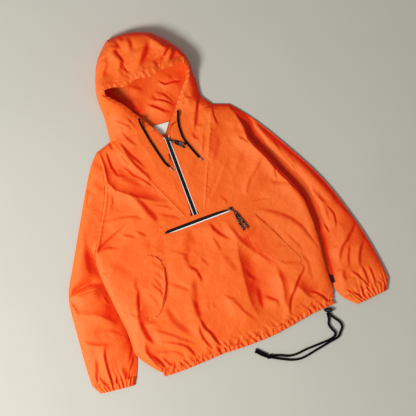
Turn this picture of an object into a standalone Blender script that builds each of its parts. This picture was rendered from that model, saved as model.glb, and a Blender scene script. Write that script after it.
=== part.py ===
"""Anorak pullover lying on its back: cut panels of thin cloth, their trims, zips and cords.

Sizes are in millimetres and become metres in one place, to_metres. Plan coordinates start at the
foot of the neck zip: +X is towards the wearer's left sleeve, +Y towards the hood, +Z up.
Left and right in names are as the front is seen, so the left sleeve is at -X.
The object's origin is under the middle of its box, so ORIGIN_X and ORIGIN_Y are taken off.
"""

import math

import bmesh
import bpy
import numpy as np
from mathutils import Matrix, Vector

MM = 0.001
ORIGIN_X, ORIGIN_Y = 1.0, 76.1  # middle of the box without the loose cords, from the zip foot

# ---------------------------------------------------------------- cloth
CLOTH = 1.2  # wall of a single layer
CASING = 2.0  # wall of a turned and stitched channel
SEAM = 0.4  # gap between two pieces sewn edge to edge
WIDE_SEAM = 0.9  # the same where both walls lean
ARM_SEAM = 1.4  # round an armhole, where a sleeve turns under
HOOD_SEAM = 1.4  # and where the hood turns down steeply beside its casing
LAY = 0.3  # gap between a piece and the one that it rests on
LOFT = 16.0  # usual height of the upper layer's outer face over the floor
HEM_LOFT = 10.0  # the same where the hem draws it in
CUFF_LOFT = 11.0  # and where a cuff does
LEAST_LOFT = 8.0  # no trough presses the upper layer lower than this
EDGE_RADIUS = 20.0  # how far in from a folded edge the cloth has risen to its loft

SHOULDER_RIM = 3.5  # height of the outer face along the shoulder fold
SLEEVE_RIM = 7.0  # along a sleeve's outer fold
SIDE_RIM = 9.0  # along the body's side fold
INNER_RIM = 2.8  # along a sleeve's inner fold, under the body's side
INNER_RISE = 40.0  # how far in from the inner fold a sleeve has risen
SIDE_ROLL = 13.0  # how far the front turns in under its side fold
BACK_INSET = 11.5  # how far the back panel's edge stands in from the side fold
ROLL_REST = CLOTH + LAY  # height of a rolled edge's face where it rests on the back

BIB_FOOT, BIB_FOOT_Y = 33.0, -6.0  # half width of the bib's foot, and its place
BIB_TOP, BIB_TOP_Y = 165.0, 288.0
ZIP_TOP, ZIP_TOP_Y = 25.0, 276.0  # half width of the neck's notch, and its place
SLIDER_Y = 237.0
TAPE_OUT, TAPE_IN = 7.2, 3.9  # the neck zip's tape, from and to this distance off the centre
TAPE_GAP = 0.6  # between tape and cloth, and between tape and chain
TAPE_SUNK, TAPE_WALL = 0.5, 1.0  # how far the tape lies below the cloth's face
CHAIN_HALF, CHAIN_RISE, CHAIN_WALL = 3.3, 0.2, 2.0
POCKET_ZIP_HALF = 105.0
POCKET_ZIP_LOW, POCKET_ZIP_HIGH = -33.0, -19.0
CASING_DEPTH = 16.0
CUFF_WAVES, HEM_WAVES, HOOD_WAVES = 11, 40, 42
GATHER = 1.7  # height of a gather's wave

# Armhole seams, from the shoulder fold down to the underarm.
ARMHOLE = {
    "left": [(-211, 275), (-212, 217), (-227, 160), (-240, 130), (-259, 95), (-280, 62),
             (-328, -19)],
    "right": [(211, 271), (224, 217), (229, 160), (241, 125), (264, 80), (284, 31),
              (301, -4), (314, -33)],
}
# Side folds of the body, from the underarm down to the hem's end.
SIDE = {
    "left": [(-328, -19), (-333, -64), (-332, -99), (-327, -146), (-323, -193), (-318, -240),
             (-314, -280), (-318, -319), (-317, -343), (-288, -384), (-263, -412)],
    "right": [(314, -33), (322, -80), (322, -124), (324, -170), (321, -208), (315, -253),
              (309, -298), (310, -332), (307, -362), (297, -387)],
}
# Lower edge of the front and back, where the hem casing starts.
HEM_SEAM = [(-263, -412), (-210, -414), (-155, -413), (-64, -409), (15, -413), (96, -411),
            (164, -401), (215, -392), (256, -388), (297, -387)]

# Each sleeve, ring by ring from armhole to cuff: outer fold x, y and inner fold x, y.
SLEEVE = {
    "left": [
        (-211, 275, -328, -19), (-244, 246, -329.5, -21), (-279, 187, -330.8, -26),
        (-314, 128, -331.8, -34), (-345, 75, -331, -50), (-376, 22, -329, -85),
        (-406, -30, -325, -125), (-430, -69, -320, -165), (-448, -104, -316, -203),
        (-455, -150, -311, -245), (-459, -195, -308, -282), (-463, -240, -311, -312),
        (-468, -290, -313, -342), (-472, -335, -321, -368), (-473, -378, -336, -398)],
    "right": [
        (211, 271, 314, -33), (241, 238, 314.8, -35), (272, 192, 316.5, -39),
        (305, 136, 319, -47), (336, 81, 321, -64), (365, 26, 319.5, -98),
        (391, -25, 318, -135), (413, -85, 318, -172), (429, -138, 315, -208),
        (441, -180, 310.5, -242), (452, -222, 306, -276), (462, -268, 304, -306),
        (469, -318, 306, -338), (474, -356, 312, -367), (475, -388, 328, -396)],
}
LAST_RING = 14  # the number of a sleeve's last row above
SLEEVE_RINGS = 20  # rings made between the first row and the last
TUCKED_RING = 4  # from this row on a sleeve's inner fold is down under the body's side
# Each cuff's end: outer x, y and inner x, y.
CUFF_END = {"left": (-459, -408, -351, -421), "right": (460, -419, 359, -428)}
# Places round the top of a sleeve's ring, as parts of its width from the outer fold.
RING_PLACES = (0.0, 0.01, 0.035, 0.12, 0.24, 0.36, 0.48, 0.60, 0.72, 0.84, 0.95, 1.0)
TURN_NEAR, TURN_FAR = 2.5, 9.0  # how far in a fold's underside leaves and meets the floor

# Hood, station by station from the neck up to the crown: face opening's edge x, y and height,
# outline x, y, and how far the cloth between them swells.
HOOD = {
    "left": [
        (-25, 277, 15, -165, 290, 2), (-38, 298, 16, -160, 322, 6), (-50, 320, 17, -156, 353, 9),
        (-67, 346, 18, -155, 376, 10), (-84, 374, 20, -156, 398, 9),
        (-106, 398, 24, -156, 418, 7), (-127, 419, 30, -152, 440, 5),
        (-124, 436, 38, -144, 466, 4), (-96, 437, 46, -131, 505, 4), (-64, 437, 53, -108, 543, 5),
        (-31, 438, 58, -66, 579, 5), (0, 438, 60, -22, 582, 5)],
    "right": [
        (25, 277, 15, 165, 290, 2), (51, 302, 17, 151, 307, 5), (61, 319, 18, 139, 324, 6),
        (76, 340, 20, 141, 343, 6), (98, 364, 22, 145, 378, 4), (122, 388, 26, 141, 398, 3),
        (130, 411, 30, 146, 430, 3), (129, 432, 36, 137, 464, 3), (114, 437, 42, 117, 498, 3),
        (92, 438, 50, 95, 525, 4), (66, 439, 56, 66, 554, 5), (34, 439, 60, 25, 574, 5)],
}
CROWN_SEAM = 10  # the station where the crown's strip starts, on both sides
HOOD_RIM = 6.0
HOOD_ROLL, HOOD_INSET = 13.0, 12.0
HOOD_PLACES = (0.0, 0.14, 0.3, 0.46, 0.62, 0.77, 0.89, 0.97, 1.0)
HOOD_BACK_CELLS = 12
NECK_LEFT, NECK_RIGHT = (-165.0, 290.0), (165.0, 290.0)

# Folds of the upper layer: start x, y, end x, y, bow of the line to its left, half width and
# height. A negative height is a trough.
FOLDS = [
    # bib and left chest
    (-146, 278, -98, 140, 6, 17, 6), (-128, 262, -82, 150, 4, 15, -4),
    (-208, 235, -96, 78, -18, 28, 5), (-158, 98, -122, 8, 0, 18, 4), (-99, 34, -44, -7, 0, 15, -3),
    (-265, 72, -152, 42, 12, 17, 5), (-310, -2, -222, 32, -6, 17, -5),
    # left sleeve
    (-446, -110, -334, -96, 8, 18, -8), (-444, -80, -345, -62, 6, 20, 5),
    (-446, -138, -352, -126, 4, 18, 5), (-418, -158, -336, -228, 4, 17, 6),
    (-402, -222, -346, -254, 0, 15, -4), (-456, -236, -380, -276, 4, 17, 5),
    (-400, -288, -418, -372, 6, 15, 5), (-296, 128, -396, -52, 4, 32, 3),
    # left side of the body
    (-250, -140, -290, -330, 5, 17, 8), (-234, -150, -264, -300, 4, 14, -4),
    (-284, -330, -258, -404, 0, 15, 6), (-270, -270, -122, -378, 8, 17, 6),
    (-228, -330, -148, -398, 4, 15, 5), (-155, -176, -117, -190, 0, 16, -3),
    (-90, -130, -64, -194, 5, 15, 4), (-118, -286, -66, -410, 4, 16, 6),
    (-92, -318, -98, -394, 0, 14, -3), (-8, -276, 60, -372, 4, 19, 6),
    # right side of the body
    (74, -54, 158, -228, 5, 22, 7), (112, -110, 134, -338, 0, 34, -6),
    (168, -248, 171, -352, 0, 20, 5), (104, -314, 144, -354, 0, 15, 4),
    (238, -256, 158, -404, -12, 17, 8), (214, -306, 280, -384, -6, 16, 6),
    (14, -40, 42, -112, 0, 15, 4), (206, -92, 292, -190, 12, 18, 5),
    # right chest
    (158, 246, 96, 134, -8, 15, 5), (148, 130, 40, 12, 0, 15, 3), (198, 114, 144, 60, 0, 17, 4),
    (242, 92, 152, 0, 10, 19, 6), (242, 13, 300, -8, 0, 14, -5), (158, -18, 222, -26, 0, 14, -3),
    (188, 180, 224, 126, 0, 15, 4), (156, 279, 150, 222, 0, 13, 4), (106, 212, 72, 148, 0, 14, 4),
    # right sleeve
    (350, 34, 398, -120, 5, 19, 6), (340, -112, 374, -152, 8, 15, 5), (328, -154, 358, -202, 0, 14, 4),
    (344, -304, 408, -202, -8, 17, 6), (408, -206, 448, -202, 0, 14, -4),
    (396, -322, 430, -250, 0, 15, 5), (268, 172, 338, 44, -3, 30, 3),
    # hood
    (-60, 564, -40, 448, -6, 15, 5), (-110, 520, -118, 472, 0, 13, -4), (52, 543, -2, 486, 0, 15, 5),
    (60, 537, 72, 492, 0, 13, 4), (104, 486, 42, 468, 0, 13, 4), (-130, 356, -84, 300, 0, 12, 4),
    (124, 330, 100, 290, 0, 12, 4),
]
# Folds of the hood's back, seen through the face opening, which rise from the floor.
HOOD_FOLDS = [
    (-118, 404, -40, 328, 6, 17, 9), (34, 424, 98, 392, -12, 16, 10), (-4, 388, 56, 332, -8, 16, 9),
    (-34, 366, 54, 308, -10, 15, 8), (-92, 430, -20, 396, 6, 18, 8), (60, 360, 112, 366, 0, 16, 7),
]

# D pocket, from the top of its straight side round its curved seam.
POCKET = [(-185, -67), (-172, -69), (-152, -85), (-143, -106), (-144, -135), (-154, -172),
          (-172, -210), (-197, -242), (-222, -254), (-247, -256), (-262, -250), (-268, -240)]
POCKET_RIGHT_SHIFT = -16.0  # the right one mirrors the left one, and lies this much further in
POCKET_RISE = 0.45  # gap between the pocket's cloth and the front's

# ---------------------------------------------------------------- zips, pulls and cords
# The pocket zip's strips: lower edge, upper edge, rise over the cloth's face, and wall.
POCKET_STRIPS = {
    "pocket_zip_tape_lower": (-32.4, -29.1, -TAPE_SUNK, TAPE_WALL),
    "pocket_zip_chain": (-28.5, -23.5, CHAIN_RISE, CHAIN_WALL),
    "pocket_zip_tape_upper": (-22.9, -19.6, -TAPE_SUNK, TAPE_WALL),
}
POCKET_ZIP_CELLS = 16

SLIDER_SIZE = (12.0, 8.0, 3.6)  # its long side runs along the zip
SLIDER_EDGE = 1.2
TAB_LENGTH, TAB_WIDTH, TAB_THICK, TAB_EDGE = 14.5, 4.4, 1.6, 0.6
BARREL_RADIUS, BARREL_LENGTH, BARREL_SIDES = 1.3, 5.0, 10
LUG_WIDTH, LUG_DEPTH, LUG_SUNK, LUG_CAP = 1.2, 3.2, 1.0, 1.6  # sunk in the slider, and over the pivot
KNOT_SIZE, KNOT_DROP = (9.0, 8.4, 6.4), 1.9  # how far the knot's middle lies below the pivot
PULL_CORD, HOOD_CORD, HEM_CORD = 4.4, 5.0, 4.4  # diameters
CORD_STEP = 2.5  # cord diameters between two points of a tube
TIP_SIZE = 4.0  # diameter of the hood cords' tips

# Each zip's slider: middle x, y and base z, how far it is turned, and the way its tab points.
SLIDERS = {
    "neck": (0.0, 235.0, 16.5, 90.0, (0.790, -0.613)),
    "pocket": (104.0, -25.0, 16.5, 0.0, (0.488, -0.873)),
}
PULL_CORDS = {  # each strand's middle line, from the knot to its end
    "neck": {
        "a": [(20.5, 222.2, 19.2), (28, 217, 18.8), (37, 210, 18.7), (45, 203, 18.7)],
        "b": [(17.5, 218.4, 19.2), (23, 211, 18.8), (31, 203.5, 18.7), (38.5, 196, 18.7)]},
    "pocket": {
        "a": [(118.2, -45.6, 19.4), (121, -58, 20.3), (126, -74, 21.3), (134, -99, 22.6)],
        "b": [(113.6, -47.2, 19.3), (112.5, -56, 20.5), (113, -66, 21.3), (116, -84, 22.5),
              (120, -101, 23.4)]},
}

# Hood drawcords: eyelet's middle and how far it leans about Y; the cord's middle line, from just
# over the eyelet to where it goes into its tip; and the tip's line.
EYELET_MIDDLE, EYELET_TUBE, EYELET_FLAT = 4.25, 1.25, 0.56  # ring radius, tube radius, squash
HOOD_EYELETS = {"left": (-58.0, 322.0, 22.0, 13.0), "right": (59.5, 303.5, 20.6, -8.0)}
HOOD_CORDS = {
    "left": [(-58, 322, 23.6), (-58.2, 319.5, 27.4), (-58.3, 313, 29.0), (-58, 302, 25.0),
             (-56, 288, 20.8), (-54, 276, 19.3), (-50, 252, 18.9), (-44, 225, 18.9),
             (-38, 198, 18.9), (-31, 172, 18.9), (-22, 155, 18.9)],
    "right": [(59.5, 303.5, 22.2), (59, 301, 26.0), (57, 295, 27.6), (53, 286, 22.6),
              (50, 276, 19.7), (46, 249, 18.9), (47, 219, 18.9), (56, 191, 19.4),
              (67, 161, 20.2), (72, 150, 20.3)],
}
HOOD_TIPS = {
    "left": [(-21.8, 154.6, 18.7), (-17, 141, 18.7)],
    "right": [(72.2, 149.6, 20.0), (76.5, 138.5, 20.0)],
}

# Hem drawcord, on the surface beside the hem.
LOCK_MIDDLE, LOCK_TURN = (273.0, -414.6), -20.6
LOCK_SIZE = (27.0, 13.0, 11.0)
LOCK_RECESS, LOCK_BUTTON = (19.0, 6.4, 2.8), (18.0, 5.4, 2.0)
LOCK_SIDES = 24
HEM_KNOT, HEM_KNOT_SIZE = (59.0, -484.0, 3.6), (9.4, 9.0, 6.6)
HEM_CORDS = {
    "hem_cord_a": [(268.1, -420.3, 5.5), (266.8, -425, 4.8), (266.2, -431, 3.0), (265, -440, 2.4),
                   (259, -456, 2.4), (263, -472, 2.4), (268, -485, 2.4), (262, -495, 2.4),
                   (242, -499.5, 2.4), (205, -501, 2.4), (168, -502, 2.4), (137, -505, 2.4),
                   (113, -502, 2.4), (88, -491, 2.4), (65, -483, 2.8)],
    "hem_cord_b": [(272.8, -422.8, 5.5), (272.6, -426.5, 5.0), (274.5, -432.5, 3.6),
                   (278.5, -439, 2.5), (284, -447, 2.4),
                   (293, -461, 2.4), (294, -476, 2.4), (283, -490, 2.4), (271, -501, 2.4),
                   (238, -510, 2.4), (199, -518, 2.4), (159, -525, 2.4), (125, -519, 2.4),
                   (93, -505, 2.4), (63, -488.6, 2.8)],
    "hem_cord_tail_a": [(55.3, -479, 2.8), (48, -470, 2.4), (41, -463.5, 2.4), (34.5, -456.5, 2.4)],
    "hem_cord_tail_b": [(53.4, -483.2, 2.8), (45, -477, 2.4), (37, -470, 2.4), (30, -462, 2.4)],
}

NECK_LABEL = [(-22, 250), (20, 250), (23, 286), (-25, 286)]
LABEL_TOP, LABEL_WALL = 2.5, 1.0
SIDE_TAB = [(311.5, -343), (320, -343), (320, -318), (311.5, -318)]
SIDE_TAB_TOP = 10.2

MATERIALS = {  # colour, roughness, metallic
    "nylon": ((0.87, 0.13, 0.02), 0.55, 0.0),
    "zip_tape": ((0.80, 0.80, 0.76), 0.75, 0.0),
    "zip_black": ((0.015, 0.015, 0.017), 0.38, 0.0),
    "black_hardware": ((0.018, 0.018, 0.02), 0.30, 0.0),
    "cord_black": ((0.012, 0.012, 0.013), 0.80, 0.0),
    "cord_flecked": ((0.05, 0.05, 0.05), 0.75, 0.0),
    "tip_grey": ((0.32, 0.31, 0.31), 0.35, 0.0),
    "label_white": ((0.82, 0.83, 0.79), 0.85, 0.0),
    "tab_black": ((0.02, 0.02, 0.022), 0.85, 0.0),
}


def clear_scene():
    for item in list(bpy.data.objects):
        bpy.data.objects.remove(item)


def new_collection(name):
    collection = bpy.data.collections.new(name)
    bpy.context.scene.collection.children.link(collection)
    return collection


def new_material(name):
    colour, roughness, metallic = MATERIALS[name]
    material = bpy.data.materials.new(name)
    material.use_nodes = True
    shader = material.node_tree.nodes["Principled BSDF"]
    shader.inputs["Base Color"].default_value = (*colour, 1.0)
    shader.inputs["Roughness"].default_value = roughness
    shader.inputs["Metallic"].default_value = metallic
    return material


def to_metres(point):
    return Vector(((point[0] - ORIGIN_X) * MM, (point[1] - ORIGIN_Y) * MM, point[2] * MM))


# ---------------------------------------------------------------- lines and heights
def smooth(value):
    value = min(max(value, 0.0), 1.0)
    return value * value * (3 - 2 * value)


def dome(value):
    """Rises from 0 like a quarter of a wave and stays at 1."""
    return math.sin(math.pi / 2 * min(max(value, 0.0), 1.0))


def mix(first, second, part):
    return np.array(first, float) * (1 - part) + np.array(second, float) * part


def length_of(line):
    return float(np.hypot(*np.diff(np.array(line, float)[:, :2], axis=0).T).sum())


def along(line, part):
    """The point at this part of a line's length."""
    points = np.array(line, float)
    steps = np.hypot(*np.diff(points[:, :2], axis=0).T)
    places = np.concatenate([[0], np.cumsum(steps)]) / steps.sum()
    return np.array([np.interp(part, places, column) for column in points.T])


def distance(line, x, y):
    """How far the point is from the line."""
    points = np.array(line, float)
    start, step = points[:-1], np.diff(points, axis=0)
    away = np.array([x, y]) - start
    part = np.clip((away * step).sum(1) / (step * step).sum(1), 0, 1)
    return float(np.hypot(*(away - step * part[:, None]).T).min())


def fold_height(folds, x, y):
    """The sum of the folds at a point: round across, and fading out towards both ends."""
    total = 0.0
    for x0, y0, x1, y1, bow, half, height in folds:
        run = math.hypot(x1 - x0, y1 - y0)
        ux, uy = (x1 - x0) / run, (y1 - y0) / run
        part = ((x - x0) * ux + (y - y0) * uy) / run
        if not 0 < part < 1:
            continue
        off = (y - y0) * ux - (x - x0) * uy - bow * 4 * part * (1 - part)
        fade = smooth(min(part, 1 - part) / 0.25)
        total += height * fade * math.exp(-((off / half) ** 2))
    return total


def hem_y(x):
    xs, ys = zip(*HEM_SEAM)
    return float(np.interp(x, xs, ys))


OUTER_FOLD = {
    side: [neck] + [row[:2] for row in SLEEVE[side]]
    for side, neck in (("left", NECK_LEFT), ("right", NECK_RIGHT))
}
INNER_FOLD = {side: [row[2:] for row in SLEEVE[side]] for side in SLEEVE}
SIGN = {"left": -1, "right": 1}


def body_height(x, y):
    """Height of the outer face of the body's upper layer."""
    low = HEM_LOFT + (LOFT - HEM_LOFT) * smooth((y - hem_y(x)) / 70)
    height = max(low + fold_height(FOLDS, x, y), LEAST_LOFT)
    outer = min(distance(OUTER_FOLD[side], x, y) for side in OUTER_FOLD)
    height = SHOULDER_RIM + (height - SHOULDER_RIM) * dome(outer / EDGE_RADIUS)
    side = min(distance(SIDE[side], x, y) for side in SIDE)
    return SIDE_RIM + (height - SIDE_RIM) * dome(side / EDGE_RADIUS)


def sleeve_height(side, ring, x, y):
    """The same on a sleeve: the body's at the armhole, and its own from the fourth ring on."""
    rim = SHOULDER_RIM + (SLEEVE_RIM - SHOULDER_RIM) * smooth(ring / 4)
    loft = LOFT + (CUFF_LOFT - LOFT) * smooth((ring - LAST_RING + 3) / 3)
    height = max(loft + fold_height(FOLDS, x, y), LEAST_LOFT)
    height = rim + (height - rim) * dome(distance(OUTER_FOLD[side], x, y) / EDGE_RADIUS)
    inner = distance(INNER_FOLD[side], x, y)
    as_body = SIDE_RIM + (height - SIDE_RIM) * dome(inner / EDGE_RADIUS)
    tucked = INNER_RIM + (height - INNER_RIM) * smooth(inner / INNER_RISE)
    return float(mix(as_body, tucked, smooth(ring / TUCKED_RING)))


# ---------------------------------------------------------------- making objects
def finish(name, mesh, material, collection, wall=None):
    mesh.materials.append(material)
    mesh.shade_smooth()
    mesh.set_sharp_from_angle(angle=math.radians(50))
    item = bpy.data.objects.new(name, mesh)
    collection.objects.link(item)
    if wall:
        solid = item.modifiers.new("wall", "SOLIDIFY")
        solid.thickness = wall * MM
        solid.offset = -1
        solid.use_even_offset = False
    return item


def mesh_from(name, shape):
    mesh = bpy.data.meshes.new(name)
    shape.to_mesh(mesh)
    shape.free()
    return mesh


def block(size, middle=(0.0, 0.0, 0.0)):
    shape = bmesh.new()
    bmesh.ops.create_cube(shape, size=MM)
    move = Matrix.Translation(Vector(middle) * MM) @ Matrix.Diagonal((*size, 1.0))
    bmesh.ops.transform(shape, matrix=move, verts=shape.verts)
    return mesh_from("block", shape)


def drum(size, sides, lying=False):
    """An upright cylinder of this width, depth and height, or one lying along Y."""
    shape = bmesh.new()
    bmesh.ops.create_cone(shape, cap_ends=True, segments=sides, radius1=MM / 2, radius2=MM / 2,
                          depth=MM)
    turn = Matrix.Rotation(math.radians(90), 4, "X") if lying else Matrix.Identity(4)
    bmesh.ops.transform(shape, matrix=Matrix.Diagonal((*size, 1.0)) @ turn, verts=shape.verts)
    return mesh_from("drum", shape)


def ball(size):
    shape = bmesh.new()
    bmesh.ops.create_uvsphere(shape, u_segments=12, v_segments=7, radius=MM / 2)
    bmesh.ops.transform(shape, matrix=Matrix.Diagonal((*size, 1.0)), verts=shape.verts)
    return mesh_from("ball", shape)


def smooth_route(points, step):
    """Points every step or so along a smooth curve through a route's own points."""
    p = np.array(points, float)
    p = np.vstack([2 * p[0] - p[1], p, 2 * p[-1] - p[-2]])
    fine = []
    for k in range(1, len(p) - 2):
        for t in np.linspace(0, 1, 12, endpoint=False):
            bend = 2 * p[k - 1] - 5 * p[k] + 4 * p[k + 1] - p[k + 2]
            twist = 3 * p[k] - p[k - 1] - 3 * p[k + 1] + p[k + 2]
            fine.append(p[k] + ((p[k + 1] - p[k - 1]) * t + bend * t**2 + twist * t**3) / 2)
    fine = np.array(fine + [p[-2]])
    places = np.concatenate([[0], np.cumsum(np.linalg.norm(np.diff(fine, axis=0), axis=1))])
    count = max(1, round(places[-1] / step))
    wanted = np.linspace(0, places[-1], count + 1)
    return np.array([np.interp(wanted, places, column) for column in fine.T]).T


def tube(name, route, diameter, material, collection):
    curve = bpy.data.curves.new(name, "CURVE")
    curve.dimensions = "3D"
    curve.bevel_depth = diameter / 2 * MM
    curve.bevel_resolution = 2
    curve.use_fill_caps = True
    curve.materials.append(material)
    points = smooth_route(route, CORD_STEP * diameter)
    spline = curve.splines.new("POLY")
    spline.points.add(len(points) - 1)
    for knot, point in zip(spline.points, points):
        knot.co = (*to_metres(point), 1.0)
    item = bpy.data.objects.new(name, curve)
    collection.objects.link(item)
    return item


def boolean(item, other, kind):
    other.hide_render = True
    other.display_type = "WIRE"
    cut = item.modifiers.new(kind.lower(), "BOOLEAN")
    cut.operation = kind
    cut.solver = "EXACT"
    cut.object = other


def round_edges(item, width):
    bevel = item.modifiers.new("edges", "BEVEL")
    bevel.width = width * MM
    bevel.segments = 2
    bevel.limit_method = "ANGLE"


def no_skip(i, j):
    return False


def loft_mesh(name, rows, closed=False, flip=False, skip=no_skip):
    """A sheet through rows of points. A closed one joins each row's ends into a tube."""
    shape = bmesh.new()
    grid = [[None if p is None else shape.verts.new(to_metres(p)) for p in row] for row in rows]
    width = len(rows[0])
    for i in range(len(rows) - 1):
        for j in range(width if closed else width - 1):
            k = (j + 1) % width
            corners = [grid[i][j], grid[i][k], grid[i + 1][k], grid[i + 1][j]]
            if None in corners or skip(i, j):
                continue
            shape.faces.new(corners[::-1] if flip else corners)
    loose = [v for v in shape.verts if not v.link_faces]
    bmesh.ops.delete(shape, geom=loose, context="VERTS")
    if not closed:
        bmesh.ops.triangulate(shape, faces=shape.faces[:])
    return mesh_from(name, shape)


def plate_mesh(name, outline, top):
    """A flat sheet inside an outline that runs anticlockwise, its face at this height."""
    shape = bmesh.new()
    face = shape.faces.new([shape.verts.new(to_metres((x, y, top))) for x, y in outline])
    bmesh.ops.triangulate(shape, faces=[face])
    return mesh_from(name, shape)


# ---------------------------------------------------------------- front, bib and back
LOWER_ROWS = 16  # cells from the hem seam to the pocket zip
UPPER_PARTS = [0.8615 * k / 11 for k in range(12)] + [0.93, 0.973, 0.992, 1.0]
EDGE_STEPS = (0.0, 3.0, 9.0, 20.0)
WING_CELLS, ZIP_END_CELLS = 6, 3
ROLL_COLUMNS = 2
HALF_CELLS = ROLL_COLUMNS + len(EDGE_STEPS) - 1 + WING_CELLS  # from the roll's end to the zip's
BEND_ROWS = 6  # rows over which the hem's line fades out
BACK_ARM_PLACES = (0.0, 0.36, 0.72, 1.0)  # the back's armhole bends where a sleeve's underside does
BACK_ARM_GAP = 1.8


def arm_point(side, part):
    """A point of the armhole, from 0 at the shoulder to 1 at the underarm, on the straight pieces
    that the sleeve's first ring has."""
    knots = np.array([along(ARMHOLE[side], place) for place in RING_PLACES])
    return np.array([np.interp(part, RING_PLACES, column) for column in knots.T])


def arm_at_row(side, level=None, part=None):
    """The armhole's point on a front row: by its level up to the bib's foot, by its part above."""
    length = length_of(ARMHOLE[side])
    below = BIB_FOOT_Y - ARMHOLE[side][-1][1]
    up = level - ARMHOLE[side][-1][1] if part is None else below + part * (length - below)
    return arm_point(side, 1 - up / length)


def bib_seam(sign, part):
    """The V seam, from 0 at the bib's foot to 1 at the neck."""
    x = BIB_FOOT + (BIB_TOP - BIB_FOOT) * part
    return np.array([sign * x, BIB_FOOT_Y + (BIB_TOP_Y - BIB_FOOT_Y) * part])


def side_point(side, y):
    xs, ys = zip(*SIDE[side][::-1])
    return np.array([np.interp(y, ys, xs), y])


def half_plan(edge, zip_end, bib, steps):
    """Plan points of half a front row, from its edge to the bib's line."""
    reach = math.dist(edge, zip_end)
    last = steps[-1]
    steps = list(steps) + [last + (reach - last) * k / WING_CELLS for k in range(1, WING_CELLS + 1)]
    points = [mix(edge, zip_end, step / reach) for step in steps]
    return points + [mix(zip_end, bib, k / ZIP_END_CELLS) for k in range(1, ZIP_END_CELLS + 1)]


def lower_half(side, level, bend):
    """Half a row below the bib, as x, y and height, with the turned-in side where it is folded."""
    sign, low = SIGN[side], HEM_SEAM[0][1]
    hem_end = HEM_SEAM[0 if sign < 0 else -1][1]
    folded = level <= SIDE[side][0][1]
    edge = side_point(side, level + (hem_end - low) * bend) if folded else arm_at_row(side, level)
    zip_end, bib = (sign * POCKET_ZIP_HALF, level), (sign * BIB_FOOT, level)
    points = half_plan(edge, zip_end, bib, EDGE_STEPS)
    if bend:
        points = [(x, level + (hem_y(x) - low) * bend) for x, _ in points]
    row = [(x, y, body_height(x, y)) for x, y in points]
    roll = [None] * ROLL_COLUMNS
    if folded:
        x, y = points[0]
        middle = (ROLL_REST + SIDE_RIM) / 2
        roll = [(x - sign * SIDE_ROLL, y, ROLL_REST), (x - sign * SIDE_ROLL * 0.45, y, middle)]
    return roll + row


def upper_half(side, part):
    """Half a row beside the bib."""
    edge, bib = arm_at_row(side, part=part), bib_seam(SIGN[side], part)
    zip_end = mix(edge, bib, 0.72)
    reach = math.dist(edge, zip_end)
    steps = [reach * k / (WING_CELLS + len(EDGE_STEPS) - 1) for k in range(len(EDGE_STEPS))]
    points = half_plan(edge, zip_end, bib, steps)
    return [None] * ROLL_COLUMNS + [(x, y, body_height(x, y)) for x, y in points]


def front_rows():
    """Rows of the front, from the hem seam up to the shoulders."""
    low = HEM_SEAM[0][1]
    levels = [low + (POCKET_ZIP_LOW - low) * k / LOWER_ROWS for k in range(LOWER_ROWS + 1)]
    rows = []
    for k, level in enumerate(levels + [POCKET_ZIP_HIGH, BIB_FOOT_Y]):
        bend = max(0.0, 1 - k / BEND_ROWS) ** 2
        left, right = (lower_half(side, level, bend) for side in SIDE)
        middle = []
        for x in (-BIB_FOOT / 3, BIB_FOOT / 3):
            y = level + (hem_y(x) - low) * bend
            middle.append((x, y, body_height(x, y)))
        rows.append(left + middle + right[::-1])
    for part in UPPER_PARTS[1:]:
        left, right = (upper_half(side, part) for side in SIDE)
        rows.append(left + [None, None] + right[::-1])
    return rows


def in_front_hole(i, j):
    """The cells that the pocket zip and the bib take."""
    last = 2 * (HALF_CELLS + ZIP_END_CELLS) + 3
    beside_zip = HALF_CELLS <= j < last - HALF_CELLS
    in_bib = HALF_CELLS + ZIP_END_CELLS <= j < last - HALF_CELLS - ZIP_END_CELLS
    return (i == LOWER_ROWS and beside_zip) or (i > LOWER_ROWS + 1 and in_bib)


def zip_line(y):
    """How far the bib's inner edge is from the middle of the neck zip."""
    closed = TAPE_OUT + TAPE_GAP
    return float(np.interp(y, (SLIDER_Y, ZIP_TOP_Y), (closed, ZIP_TOP)))


def bib_rows(sign):
    rows = []
    for part in UPPER_PARTS:
        seam = bib_seam(sign, part) + np.array([-sign * WIDE_SEAM, 0])
        y = BIB_FOOT_Y + SEAM + (ZIP_TOP_Y - BIB_FOOT_Y - SEAM) * part
        if part == 0:
            seam[1] += SEAM
        inner = (sign * zip_line(y), y)
        plan = [mix(seam, inner, k / 5) for k in range(6)]
        rows.append([(x, y, body_height(x, y)) for x, y in plan])
    return rows


def back_outline(front):
    """Anticlockwise from the hem's left end."""
    hem = [(x, y) for x, y, _ in front[0][ROLL_COLUMNS:-ROLL_COLUMNS]]
    low, high = hem[0][0] + BACK_INSET, hem[-1][0] - BACK_INSET
    points = [(low, hem_y(low))] + [(x, y) for x, y in hem if low < x < high]
    points.append((high, hem_y(high)))
    points += [(x - BACK_INSET, y) for x, y in SIDE["right"][-2:0:-1]]
    for side in ("right", "left"):
        arm = [arm_point(side, place) for place in BACK_ARM_PLACES]
        arm = [(x - SIGN[side] * BACK_ARM_GAP, y) for x, y in arm]
        if side == "right":
            points += arm[::-1] + [(x, y - SEAM) for x, y in (NECK_RIGHT, NECK_LEFT)]
        else:
            points += arm
    points += [(x + BACK_INSET, y) for x, y in SIDE["left"][1:-1]]
    return points


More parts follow.
